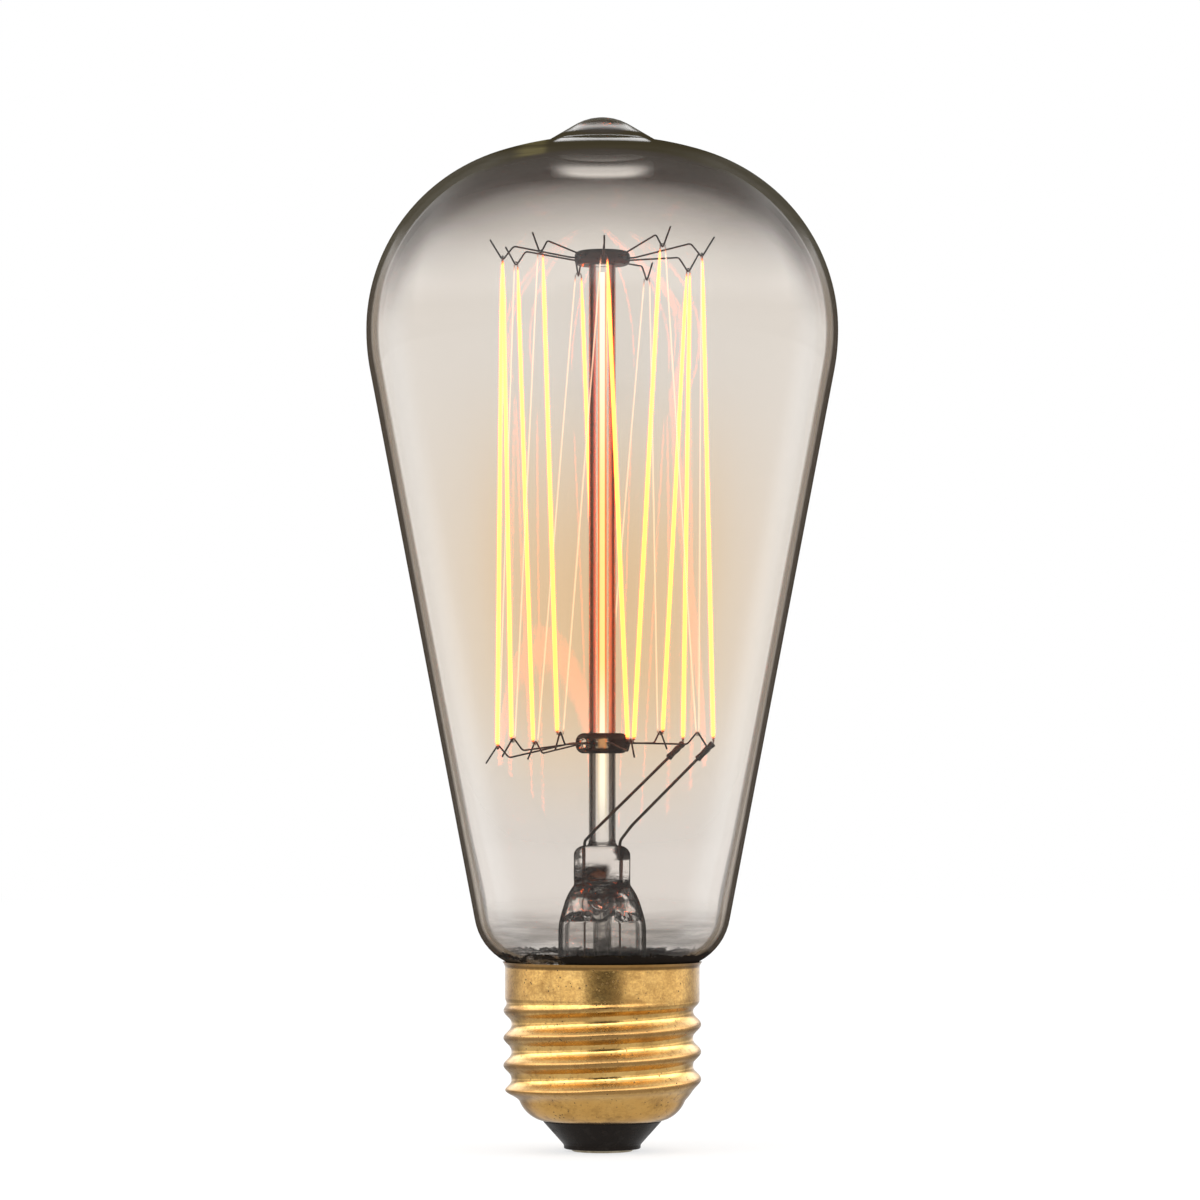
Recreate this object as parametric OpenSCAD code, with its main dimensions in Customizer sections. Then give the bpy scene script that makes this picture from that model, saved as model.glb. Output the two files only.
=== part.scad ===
// Squirrel-cage filament lamp on a medium screw cap.
// Frame: +Z runs from the centre contact to the glass tip, and the origin is
// the middle of the contact's flat face. The viewer stands on the -Y side.
// A bearing is an angle from +X, turning towards the viewer.

/* [Screw cap] */
// Height of the cap's rim above the contact face
cap_h = 25.1; // [22:0.1:30]
// Diameter over the crests of the thread
crest_d = 26.3; // [25:0.05:28]
// Diameter at the roots of the thread
root_d = 24.2; // [23:0.05:24.8]
// Pitch of the thread, seven turns to the inch
pitch = 3.629; // [3.2:0.001:4.2]
// Height of a crest on the -X side, which sets where the thread starts
crest_h = 15; // [13:0.1:17]
// Height where the thread starts to run out into the bowl
thread_low_h = 8.4; // [8:0.1:10]
// Height of the skirt, from the rim down to where the thread runs out
skirt_l = 6.5; // [5:0.1:8.5]
// Height over which a run-out fades
runout_h = 1.8; // [0.8:0.1:2.2]
// Diameter of the plain skirt above the thread
skirt_d = 25.9; // [25:0.1:27]
// Thickness of the brass sheet
sheet_t = 0.35; // [0.25:0.05:0.45]
// How far the rim flares out beyond the skirt
flare_out = 0.35; // [0:0.05:0.6]
// Height of the flared rim
flare_h = 0.8; // [0.4:0.1:1.5]
// Widest diameter of the bowl under the thread
bowl_d = 22.6; // [21.5:0.1:23.2]
// Radius of the bowl's curve
bowl_r = 4.3; // [3.6:0.1:5]
// Height of the bowl's lowest level above the contact face
bowl_h = 3.95; // [3.2:0.05:5]
// Diameter of the mouth that the insulator passes through
mouth_d = 15.8; // [14.8:0.1:17]

/* [Insulator and contact] */
// Diameter of the insulator's foot
foot_d = 10.2; // [9.4:0.1:11.5]
// Height of the straight foot
foot_h = 0.3; // [0.25:0.05:0.7]
// Radius of the hollow curve between the foot and the cone
foot_fillet = 0.6; // [0.3:0.1:1.2]
// Height of the bevel on the foot's edge
foot_bevel = 0.15; // [0.05:0.05:0.2]
// Slope of the insulator's cone, in degrees
cone_slope = 48; // [44:1:52]
// Height of the insulator above the bowl's lowest level
insulator_rise = 2.9; // [1.5:0.1:3.8]
// Diameter of the contact plate
contact_d = 8.2; // [7.5:0.1:9.2]
// Thickness of the contact plate
contact_t = 0.35; // [0.3:0.05:0.6]
// Radius of the contact plate's edge
contact_edge_r = 0.28; // [0.1:0.02:0.28]
// Bore of the eyelet in the contact
eyelet_bore = 2; // [1.4:0.1:2.6]
// Wall of the eyelet
eyelet_wall = 0.35; // [0.2:0.05:0.5]
// Diameter of the eyelet's turned-over collar
collar_d = 4.6; // [4:0.1:6]
// Thickness of that collar
collar_t = 0.3; // [0.2:0.05:0.4]
// Depth of the dimple that leads into the eyelet
dimple = 0.7; // [0.4:0.05:1]
// Height of the solder plug above the contact plate
plug_h = 1.2; // [0.9:0.1:3]

/* [Glass bulb] */
// Largest diameter of the glass
bulb_d = 63.1; // [56:0.1:72]
// Height of the largest diameter above the rim
belly_h = 84.3; // [70:0.1:100]
// Radius of the flat crown
crown_r = 46.5; // [42:0.5:60]
// Radius of the shoulder between the crown and the largest diameter
shoulder_r = 24.7; // [22:0.1:27]
// Radius of the belly under the largest diameter
belly_r = 28.7; // [15:0.1:40]
// Radius of the foot that rounds in to the cap
glass_foot_r = 7.7; // [6:0.1:9]
// How far the foot turns from upright, in degrees
glass_foot_turn = 63; // [55:1:70]
// Radius of the hollow curve between the foot and the neck
neck_fillet = 3.6; // [2.8:0.1:4.2]
// Thickness of the blown glass
glass_t = 0.8; // [0.5:0.05:1.1]
// Height of the drop-shaped tip above the crown
tip_h = 2.8; // [2.2:0.1:4]
// Radius of the tip's round top
tip_r = 7.2; // [5.5:0.1:8.5]
// Slope of the tip's straight flank, in degrees
tip_slope = 31; // [26:1:34]
// Radius of the hollow curve around the tip
tip_fillet = 1.6; // [0.8:0.1:2.4]
// How far the neck reaches down inside the cap
neck_depth = 8.1; // [6.5:0.1:9]
// Rise of the cement past the top of the straight neck
cement_rise = 0.8; // [0.4:0.1:1.2]

/* [Stem] */
// Diameter of the stem tube
stem_d = 11.7; // [10:0.1:13]
// Thickness of the stem tube
stem_t = 0.8; // [0.5:0.05:1]
// Radius of the flare that meets the neck
flare_r = 4.25; // [3:0.05:5]
// Radius of the bell at the top of the stem tube
bell_r = 9.5; // [8:0.1:12]
// Height of the bell's curve
bell_h = 6.1; // [5.2:0.1:6.6]
// Height from the rim to the top of the press
press_top_h = 15.4; // [14.8:0.1:17]
// Height from the stem's hollow to the top of the press
press_l = 6.9; // [6.2:0.1:8]
// Height of the press above the bell
press_rise = 5.2; // [4.6:0.1:5.8]
// How far the round top of the bell reaches up into the press
bell_core_h = 1.1; // [0.6:0.1:1.6]
// Width of the press
press_w = 7.5; // [6.6:0.1:9]
// Thickness of the press
press_t = 3.8; // [3:0.1:5]
// Radius of the press's corners
press_corner_r = 1.5; // [0.8:0.1:1.7]
// Diameter of the exhaust tube
exhaust_d = 2.4; // [2:0.1:3]
// Bore of the exhaust tube
exhaust_bore = 1.2; // [0.8:0.1:1.4]
// Length of the exhaust tube
exhaust_l = 22.4; // [20:0.1:23]
// Height of the side port above the stem's hollow
port_h = 2.2; // [1.8:0.1:2.8]

/* [Rod and buttons] */
// Diameter of the glass rod
rod_d = 3.6; // [2.8:0.1:4.2]
// Height of the lower button's middle above the press
low_button_h = 13.6; // [12:0.1:16]
// Distance between the middles of the two buttons
cage_h = 65; // [55:0.5:75]
// Diameter of the upper button
top_button_d = 7.4; // [6.4:0.1:9]
// Thickness of the upper button
top_button_t = 1.9; // [1.6:0.1:2.6]
// Diameter of the lower button
low_button_d = 7.1; // [6.2:0.1:9]
// Thickness of the lower button
low_button_t = 2.7; // [2:0.1:3.4]

/* [Support hooks] */
// Diameter of the hook wire
hook_wire_d = 0.24; // [0.2:0.01:0.35]
// How deep a hook is set into its button
hook_set = 1.3; // [0.8:0.1:1.5]
// Straight length of a hook outside its button
hook_neck = 0.6; // [0.3:0.1:1]
// Radius of the cage at the upper hooks
top_cage_r = 13.5; // [11:0.1:16]
// Drop of the upper hooks' valley below the button's middle
top_valley = 1; // [0.6:0.1:1.6]
// Radius of the cage at the lower hooks
low_cage_r = 14.2; // [12:0.1:16]
// Rise of the lower hooks' peak above the button's middle
low_peak = 0.8; // [0.5:0.1:1.4]
// Reach of a hook's knee short of its bend
knee_reach = 1.5; // [1.2:0.1:2.2]
// Height of the knee, measured away from the filament's span
knee_h = 0.8; // [0.4:0.1:1.2]
// Reach of a hook's tail past its bend
tail_reach = 1.7; // [1.2:0.1:2.2]
// Height of the tail, measured away from the filament's span
tail_h = 1.6; // [1:0.1:2.4]
// How far the least even hook stands above or below the ring
hook_lift = 1.2; // [0:0.1:1.4]
// How far the least even hook swings off its place, in degrees
hook_swing = 7; // [0:1:9]

/* [Filament and leads] */
// Diameter of the coiled filament
coil_d = 0.55; // [0.4:0.01:0.7]
// Diameter of the leads inside the glass
lead_d = 0.4; // [0.3:0.01:0.5]
// Diameter of the leads inside the cap
tail_lead_d = 0.3; // [0.2:0.01:0.35]
// Distance from the axis to each lead in the press
lead_x = 2.35; // [2:0.05:2.7]
// Length of each seal wire in the press
seal_l = 5.4; // [4:0.1:5.6]
// Depth of the seal wire's end below the top of the press
seal_cover = 0.7; // [0.5:0.1:1]
// Height of a lead's straight stub above the press
lead_stub = 0.6; // [0.3:0.1:0.9]
// Height above the press where the left lead turns
left_turn_h = 1.9; // [1.5:0.1:3]
// Distance from the rod to the middle of the left lead, which passes in front
left_turn_room = 1.3; // [0.8:0.1:2]
// Height above the press where the right lead turns
right_turn_h = 2.7; // [1.8:0.1:4]
// How far the right lead stands out where it turns
right_turn_out = 1.6; // [1:0.1:2.2]
// How far the right lead leans forward where it turns
right_turn_lean = 0.3; // [0:0.1:1]
// Radius of the bends in the leads
lead_bend_r = 0.5; // [0.3:0.05:0.6]
// Outer diameter of the crimp sleeves
sleeve_d = 0.85; // [0.8:0.01:1.2]
// Length of the crimp sleeves
sleeve_l = 3; // [2:0.1:4]
// Bearing of the left lead's end
left_lead_bearing = 335; // [325:1:345]
// Distance from the axis to the left lead's end
left_lead_r = 12; // [11:0.1:13.5]
// Bearing of the right lead's end
right_lead_bearing = 5; // [0:1:10]
// Distance from the axis to the right lead's end
right_lead_r = 14.8; // [13:0.1:15.5]
// Drop of the rim lead below the neck
rim_lead_drop = 1.5; // [1:0.1:2.5]
// Straight length of the outer leads at their soldered ends
lead_end_l = 1.4; // [1:0.1:1.8]
// Radius of the solder spot on the shell
rim_solder_r = 0.4; // [0.35:0.05:0.5]
// Bearing of the solder spot, which faces away from the viewer
rim_bearing = 260; // [190:1:350]

/* [Fits] */
// Gap between a wire and the glass that it is sealed in
seal_gap = 0.02; // [0.01:0.005:0.04]
// Gap between pieces that seat on each other
seat_gap = 0.05; // [0.02:0.01:0.08]
// Gap between the flared rim and the glass
rim_gap = 0.15; // [0.1:0.01:0.3]
// Room between the neck and the thread's root, which cement fills
cement_room = 0.85; // [0.7:0.05:1.2]
// Gap between the cement and the solder spot
solder_gap = 0.3; // [0.1:0.05:0.5]

/* [Hidden] */
$fn = 64;

// How each hook was bent by hand, as shares of hook_lift and hook_swing
top_lift = [5 / 6, 1, -1 / 3, 1 / 3, 1 / 2, 3 / 4, 1 / 12, -1 / 2, 0];
top_swing = [0, 4 / 7, -1 / 7, -3 / 7, 0, 0, 6 / 7, 1, 0];
low_lift = [1 / 2, -1 / 4, 1 / 2, -1 / 6, -11 / 12, -5 / 12, 0, 3 / 4];
low_swing = [-3 / 14, 5 / 7, 5 / 14, -5 / 7, 0, 0, 0, -6 / 7];
// One lower hook fewer than upper ones, each under a gap between two of them
top_count = len(top_lift);
low_count = len(low_lift);
top_start = 10;
hook_step = 360 / top_count;
low_start = top_start + hook_step / 2;

// Facets of the swept and rolled shapes
wire_sides = 6;
coil_sides = 8;
bend_steps = 3;
// A corner that turns by less than this angle is left straight
straight = 1;
loop_steps = 5;
shell_sides = 36;
// How narrow the thread's rolled crest is beside its root
crest_shape = 2.2;
// How far a cut runs past the face that it opens
past = 1;
shell_row_h = 0.45;
bowl_rows = 7;
arc_step = 4;

// Cap heights, and radii inside the sheet
thread_high_h = cap_h - skirt_l;
skirt_in_r = skirt_d / 2 - sheet_t;
root_in_r = root_d / 2 - sheet_t;
mouth_r = mouth_d / 2;
bowl_x = bowl_d / 2 - bowl_r;
bowl_z = bowl_h + bowl_r;
bowl_turn = acos((mouth_r - bowl_x) / bowl_r);

// Glass below: the neck stands in the cap and the foot just clears the rim
neck_r = root_in_r - cement_room;
foot_end_r = neck_r + neck_fillet * (1 - cos(glass_foot_turn));
foot_x = foot_end_r - glass_foot_r * cos(glass_foot_turn);
rim_in_r = skirt_in_r + flare_out;
foot_z = cap_h + glass_foot_r * sin(acos((rim_in_r - rim_gap - foot_x) / glass_foot_r));
neck_z = foot_z - (glass_foot_r + neck_fillet) * sin(glass_foot_turn);
neck_end_z = cap_h - neck_depth;

// Glass above: crown, shoulder and belly arcs, and the cone that touches belly and foot
belly_z = cap_h + belly_h;
belly_x = bulb_d / 2 - belly_r;
shoulder_x = bulb_d / 2 - shoulder_r;
crown_drop = sqrt(pow(crown_r - shoulder_r, 2) - pow(shoulder_x, 2));
crown_z = belly_z - crown_drop;
crown_turn = atan2(crown_drop, shoulder_x);
span = [belly_x - foot_x, belly_z - foot_z];
taper = acos((glass_foot_r - belly_r) / norm(span)) - atan2(span[1], span[0]);
overall_l = crown_z + crown_r + tip_h;
tip_z = overall_l - tip_r;
// Centre of the hollow curve that touches the tip's flank and the crown
hollow_off = tip_r + tip_fillet + (tip_z - crown_z) * cos(tip_slope);
hollow_run = sqrt(pow(crown_r + tip_fillet, 2) - pow(hollow_off, 2));
tip_hollow = [
    hollow_off * sin(tip_slope) - hollow_run * cos(tip_slope),
    crown_z + hollow_off * cos(tip_slope) + hollow_run * sin(tip_slope)
];

// Stem heights
flare_z = neck_end_z + flare_r;
flare_x = stem_d / 2 + flare_r;
press_z = cap_h + press_top_h;
ceiling_z = press_z - press_l;
bell_hollow_r = bell_r - stem_t;
bell_x = stem_d / 2 - bell_r;
bell_z = press_z - press_rise - bell_h;
bell_top_z = bell_z + bell_h;
bell_core_z = bell_top_z + bell_core_h;
bell_top_r = bell_x + sqrt(pow(bell_r, 2) - pow(bell_h, 2));
ceiling_r = bell_x + sqrt(pow(bell_hollow_r, 2) - pow(ceiling_z - bell_z, 2));
exhaust_end_z = ceiling_z - exhaust_l;

// Cage heights
low_hub_z = press_z + low_button_h;
top_hub_z = low_hub_z + cage_h;
rod_top_z = top_hub_z - top_button_t / 2;

// A coil sits in the round bottom of a hook, and runs round the hook's wire
nest_r = (coil_d + hook_wire_d) / 2 + seal_gap;

// Lead ends inside the glass, level with the lower hooks
left_end = cage_point(left_lead_bearing, left_lead_r, low_hub_z);
right_end = cage_point(right_lead_bearing, right_lead_r, low_hub_z);
// The left lead passes in front of the rod, the right one leans straight out
left_turn = [-lead_x / 2, -(rod_d / 2 + left_turn_room), press_z + left_turn_h];
right_turn = [lead_x + right_turn_out, -right_turn_lean, press_z + right_turn_h];
seal_top_z = press_z - seal_cover;
seal_low_z = seal_top_z - seal_l;
left_way = unit(left_end - left_turn);
right_way = unit(right_end - right_turn);
sleeve_bore = coil_d + 2 * seal_gap;
coil_grip = sleeve_l / 4;

// Lead ends inside the cap
insulator_top_z = bowl_h + insulator_rise;
eyelet_r = eyelet_bore / 2 + eyelet_wall;
plug_top_z = contact_t + plug_h;
cement_top_z = neck_z + cement_rise;
rim_lead_r = root_in_r - tail_lead_d / 2 - 3 * seat_gap;
rim_solder_z = cement_top_z + solder_gap + rim_solder_r;
rim_solder_at = cage_point(rim_bearing, skirt_in_r - rim_solder_r - seal_gap, rim_solder_z);

// Points along an arc, from angle a to angle b
function arc(x, y, r, a, b) =
    let (n = max(2, ceil(abs(b - a) / arc_step)))
    [for (i = [0:n]) [x + r * cos(a + (b - a) * i / n), y + r * sin(a + (b - a) * i / n)]];

// A point of the cage from its bearing, distance from the axis and height
function cage_point(bearing, r, z) = [r * cos(bearing), -r * sin(bearing), z];

function unit(v) = v / norm(v);
function square_to(v, t) = unit(v - (v * t) * t);
function mix(a, b, t) = a + (b - a) * t;
function fade(t) = let (c = max(0, min(1, t))) c * c * (3 - 2 * c);

// A path with its inner corners rounded to radius r
function bend(p, r) = [
    for (i = [0:len(p) - 1])
        if (i == 0 || i == len(p) - 1) p[i]
        else
            let (
                u = unit(p[i] - p[i - 1]),
                v = unit(p[i + 1] - p[i]),
                turn = acos(max(-1, min(1, u * v))),
                start = p[i] - u * r * tan(turn / 2),
                side = (v - u * cos(turn)) / max(sin(turn), sin(straight))
            )
            each turn < straight ? [p[i]]
            : [for (k = [0:bend_steps])
                let (a = turn * k / bend_steps) start + r * (u * sin(a) + side * (1 - cos(a)))]
];

// Direction of a path at a point, halfway between its two stretches
function heading(p, i) =
    i == 0 ? unit(p[1] - p[0])
    : i == len(p) - 1 ? unit(p[i] - p[i - 1])
    : unit(unit(p[i + 1] - p[i]) + unit(p[i] - p[i - 1]));

// Side directions carried along a path without twist
function sides(p, up, i = 0) =
    i == len(p) ? []
    : let (n = square_to(up, heading(p, i))) concat([n], sides(p, n, i + 1));

// A closed skin over rings of points, with flat ends or joined end to end
module skin(rings, joined = false) {
    n = len(rings[0]);
    m = len(rings);
    walls = [for (i = [0:joined ? m - 1 : m - 2], k = [0:n - 1])
        let (a = i * n, b = ((i + 1) % m) * n, l = (k + 1) % n)
        each [[a + k, b + k, b + l], [a + k, b + l, a + l]]];
    caps = joined ? [] : [[for (k = [0:n - 1]) k], [for (k = [n - 1:-1:0]) (m - 1) * n + k]];
    polyhedron([for (ring = rings) each ring], concat(walls, caps));
}

// A wire of diameter d swept along a path
module wire(path, d, count = wire_sides, up = [0, 0, 1]) {
    n = sides(path, up);
    skin([for (i = [0:len(path) - 1])
        let (t = heading(path, i), w = cross(n[i], t))
        [for (k = [0:count - 1])
            let (a = 360 * k / count) path[i] + d / 2 * (n[i] * cos(a) + w * sin(a))]]);
}

// Stands its child, drawn along +Z, at a point and aims it along a direction
module aim(at, along) {
    translate(at)
        rotate([0, acos(along[2] / norm(along)), atan2(along[1], along[0])])
            children();
}

// Outline of the bulb from the top of the tip to the shoulder
function tip_line() =
    let (crown_side = atan2(tip_hollow[1] - crown_z, tip_hollow[0]))
    concat(
        arc(0, tip_z, tip_r, 90, 90 - tip_slope),
        arc(tip_hollow[0], tip_hollow[1], tip_fillet, 270 - tip_slope, 180 + crown_side),
        arc(0, crown_z, crown_r, crown_side, crown_turn)
    );

// Outline from the shoulder to the end of the neck, moved inwards by t
function body_line(t) = concat(
    arc(shoulder_x, belly_z, shoulder_r - t, crown_turn, 0),
    arc(belly_x, belly_z, belly_r - t, 0, -taper),
    arc(foot_x, foot_z, glass_foot_r - t, -taper, -glass_foot_turn),
    arc(neck_r + neck_fillet, neck_z, neck_fillet + t, 180 - glass_foot_turn, 180),
    [[neck_r - t, neck_end_z]]
);

module glass_bulb() {
    inside = concat(arc(0, crown_z, crown_r - glass_t, 90, crown_turn), body_line(glass_t));
    outside = concat(tip_line(), body_line(0));
    color([0.85, 0.85, 0.82, 0.35])
        rotate_extrude()
            polygon(concat(outside, [for (i = [len(inside) - 1:-1:0]) inside[i]]));
}

// Section of the stem tube with its flare and its bell
module stem_section() {
    polygon(concat(
        [[0, bell_core_z], [press_t / 2, bell_core_z]],
        arc(bell_x, bell_z, bell_r, asin(bell_h / bell_r), 0),
        arc(flare_x, flare_z, flare_r, 180, 270),
        [[neck_r, neck_end_z], [neck_r, neck_end_z - stem_t]],
        arc(flare_x, flare_z, flare_r + stem_t, 270, 180),
        arc(bell_x, bell_z, bell_hollow_r, 0, asin((ceiling_z - bell_z) / bell_hollow_r)),
        [[0, ceiling_z]]
    ));
}

module press_face() {
    low = ceiling_z + press_corner_r;
    high = press_z - press_corner_r;
    side = press_w / 2 - press_corner_r;
    polygon(concat(
        arc(side, high, press_corner_r, 0, 90),
        arc(-side, high, press_corner_r, 90, 180),
        [[-press_w / 2, bell_top_z], [-bell_top_r / 2, low]],
        [[bell_top_r / 2, low], [press_w / 2, bell_top_z]]
    ));
}

module stem() {
    color([0.8, 0.8, 0.78, 0.5])
        difference() {
            union() {
                rotate_extrude()
                    stem_section();
                rotate([90, 0, 0])
                    linear_extrude(press_t, center = true)
                        press_face();
            }
            for (x = [-lead_x, lead_x])
                translate([x, 0, ceiling_z - past])
                    cylinder(d = lead_d + 2 * seal_gap, h = press_l + 2 * past, $fn = 24);
            translate([0, 0, ceiling_z - past])
                cylinder(d = exhaust_bore, h = port_h + past, $fn = 24);
            translate([0, 0, ceiling_z + port_h])
                rotate([-90, 0, 0])
                    cylinder(d = exhaust_bore, h = press_w, $fn = 24);
        }
}

module exhaust_tube() {
    end_r = exhaust_d / 2;
    bore_r = exhaust_bore / 2;
    color([0.8, 0.8, 0.78, 0.5])
        rotate_extrude($fn = 32)
            polygon(concat(
                [[bore_r, ceiling_z], [end_r, ceiling_z]],
                arc(0, exhaust_end_z + end_r, end_r, 0, -90),
                arc(0, exhaust_end_z + 2 * end_r, bore_r, -90, 0)
            ));
}

module rod() {
    color([0.8, 0.8, 0.78, 0.5])
        translate([0, 0, press_z])
            cylinder(d = rod_d, h = rod_top_z - press_z, $fn = 48);
}

// A glass bead with a round edge, drilled for its hooks
module button(d, t, z, hooks, bore_d) {
    edge = t / 3;
    color([0.78, 0.78, 0.76, 0.6])
        difference() {
            rotate_extrude($fn = 48)
                polygon(concat(
                    [[bore_d / 2, z - t / 2]],
                    arc(d / 2 - edge, z - t / 2 + edge, edge, -90, 0),
                    arc(d / 2 - edge, z + t / 2 - edge, edge, 0, 90),
                    [[bore_d / 2, z + t / 2]]
                ));
            for (bearing = hooks)
                aim(cage_point(bearing, d / 2 - hook_set, z), cage_point(bearing, 1, 0))
                    cylinder(d = hook_wire_d + 2 * seal_gap, h = d, $fn = 16);
        }
}

function top_bearing(i) = top_start + i * hook_step + top_swing[i] * hook_swing;
function low_bearing(i) = low_start + i * hook_step + low_swing[i] * hook_swing;
top_bearings = [for (i = [0:top_count - 1]) top_bearing(i)];
low_bearings = [for (i = [0:low_count - 1]) low_bearing(i)];

module upper_button() {
    button(top_button_d, top_button_t, top_hub_z, top_bearings, 0);
}

module lower_button() {
    button(low_button_d, low_button_t, low_hub_z, low_bearings, rod_d + 2 * seal_gap);
}

// Middle of the hook wire where the filament hangs, for an upper or a lower hook
function top_seat(i) =
    cage_point(top_bearing(i), top_cage_r, top_hub_z - top_valley + top_lift[i] * hook_lift);
function low_seat(i) =
    cage_point(low_bearing(i), low_cage_r, low_hub_z + low_peak + low_lift[i] * hook_lift);

// A hook from its button: out to a knee, round the bend that holds the filament,
// and on to its tail. valley is how far the bend lies from the button's middle, and
// way is 1 for an upper hook and -1 for a lower one.
module hook(bearing, button_d, hub_z, seat, valley, way) {
    seat_r = norm([seat[0], seat[1]]);
    knee = [seat_r - knee_reach, seat[2] + way * (valley + knee_h)];
    tail = [seat_r + tail_reach, seat[2] + way * (valley + tail_h)];
    fall = unit([seat_r, seat[2]] - knee);
    rise = unit(tail - [seat_r, seat[2]]);
    half = acos(-(fall * rise)) / 2;
    tip_z = seat[2] - way * nest_r * (1 / sin(half) - 1);
    root = button_d / 2 - hook_set + seal_gap;
    outline = [[root, hub_z], [button_d / 2 + hook_neck, hub_z], knee, [seat_r, tip_z], tail];
    path = [for (q = outline) cage_point(bearing, q[0], q[1])];
    color([0.25, 0.22, 0.2])
        wire(bend(path, nest_r), hook_wire_d, up = cage_point(bearing + 90, 1, 0));
}

module upper_hook(n) {
    hook(top_bearing(n - 1), top_button_d, top_hub_z, top_seat(n - 1), top_valley, 1);
}

module lower_hook(n) {
    hook(low_bearing(n - 1), low_button_d, low_hub_z, low_seat(n - 1), low_peak, -1);
}

// The coil's half turn over a hook's wire, from the side of the smaller bearing
function loop(seat, bearing, way) =
    let (along = cage_point(bearing + 90, 1, 0))
    [for (k = [0:loop_steps])
        let (a = 180 * k / loop_steps)
        seat + nest_r * (way * sin(a) * [0, 0, 1] - cos(a) * along)];

// The filament from the right lead, up and down between the hooks, to the left lead
module filament() {
    path = concat(
        [right_end - right_way * coil_grip, right_end + right_way * seat_gap],
        [for (i = [0:top_count - 1]) each concat(
            loop(top_seat(i), top_bearing(i), 1),
            i < low_count ? loop(low_seat(i), low_bearing(i), -1) : []
        )],
        [left_end + left_way * seat_gap, left_end - left_way * coil_grip]
    );
    color([0.98, 0.93, 0.55])
        wire(path, coil_d, coil_sides, up = [1, 0, 0]);
}

// An inner lead from its seal wire to just below the filament's end
module inner_lead(x, turn_at, end, way) {
    color([0.35, 0.3, 0.26])
        wire(bend([
            [x, 0, seal_top_z + seal_gap],
            [x, 0, press_z + lead_stub],
            turn_at,
            end - way * (coil_grip + seat_gap)
        ], lead_bend_r), lead_d, coil_sides, up = [1, 0, 0]);
}

module left_lead() {
    inner_lead(-lead_x, left_turn, left_end, left_way);
}

module right_lead() {
    inner_lead(lead_x, right_turn, right_end, right_way);
}

// A crimp sleeve that joins a lead to the filament
module sleeve(end, way) {
    color([0.3, 0.27, 0.25])
        aim(end - way * sleeve_l, way)
            difference() {
                cylinder(d = sleeve_d, h = sleeve_l, $fn = 24);
                translate([0, 0, -past])
                    cylinder(d = sleeve_bore, h = sleeve_l + 2 * past, $fn = 24);
            }
}

module left_sleeve() {
    sleeve(left_end, left_way);
}

module right_sleeve() {
    sleeve(right_end, right_way);
}

// A copper-clad wire that the press is sealed on to
module seal_wire(x) {
    color([0.72, 0.35, 0.2])
        translate([x, 0, seal_low_z])
            cylinder(d = lead_d, h = seal_l, $fn = 24);
}

module left_seal_wire() {
    seal_wire(-lead_x);
}

module right_seal_wire() {
    seal_wire(lead_x);
}

// The outer lead that runs under the neck and up to the rim of the shell
module rim_lead() {
    low_z = neck_end_z - stem_t - rim_lead_drop;
    under_r = neck_r - rim_lead_drop;
    color([0.75, 0.45, 0.3])
        wire(bend([
            [-lead_x, 0, seal_low_z - seal_gap],
            [-lead_x, 0, low_z + 2 * rim_lead_drop],
            cage_point(rim_bearing, under_r, low_z),
            cage_point(rim_bearing, rim_lead_r, low_z + rim_lead_drop / 2),
            cage_point(rim_bearing, rim_lead_r, rim_solder_z - rim_solder_r - lead_end_l),
            rim_solder_at - [0, 0, rim_solder_r + seal_gap]
        ], tail_lead_d), tail_lead_d, coil_sides, up = [1, 0, 0]);
}

// The outer lead that runs down through the eyelet to the contact
module contact_lead() {
    color([0.75, 0.45, 0.3])
        wire(bend([
            [lead_x, 0, seal_low_z - seal_gap],
            [lead_x, 0, exhaust_end_z],
            [0, 0, insulator_top_z + lead_end_l],
            [0, 0, plug_top_z + seal_gap]
        ], lead_bend_r), tail_lead_d, coil_sides, up = [1, 0, 0]);
}

module rim_solder() {
    color([0.7, 0.7, 0.7])
        translate(rim_solder_at)
            sphere(r = rim_solder_r, $fn = 24);
}

// Cement between the neck and the shell, with a slot for the rim lead
module cement() {
    low = neck_end_z + rim_gap;
    outer = skirt_in_r - seat_gap;
    slot_w = tail_lead_d + 4 * seat_gap;
    slot_z = low - slot_w;
    color([0.3, 0.28, 0.26])
        difference() {
            rotate_extrude()
                polygon(concat(
                    [[neck_r + seat_gap, low], [root_in_r - seat_gap, low]],
                    [[root_in_r - seat_gap, thread_high_h + runout_h / 4]],
                    [[outer, thread_high_h + runout_h], [outer, cement_top_z]],
                    [[neck_r + neck_fillet - sqrt(pow(neck_fillet - seat_gap, 2)
                        - pow(cement_top_z - neck_z, 2)), cement_top_z]],
                    [[neck_r + seat_gap, neck_z]]
                ));
            rotate([0, 0, -rim_bearing])
                translate([0, -slot_w / 2, slot_z])
                    cube([skirt_d, slot_w, cap_h - slot_z]);
        }
}

// Radius of the thread at height z on bearing a: a rounded crest that climbs one
// pitch a turn, faded out into the bowl below and the skirt above
function thread_radius(z, a) =
    let (
        phase = 360 * (z - crest_h) / pitch - (a - 180),
        wave = pow((1 + cos(phase)) / 2, crest_shape),
        rolled = mix(root_d / 2, crest_d / 2, wave),
        bowl = bowl_x + sqrt(pow(bowl_r, 2) - pow(max(0, bowl_z - z), 2)),
        lower = mix(rolled, bowl, fade((thread_low_h - z) / runout_h))
    )
    mix(lower, skirt_d / 2, fade((z - thread_high_h) / runout_h));

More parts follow.
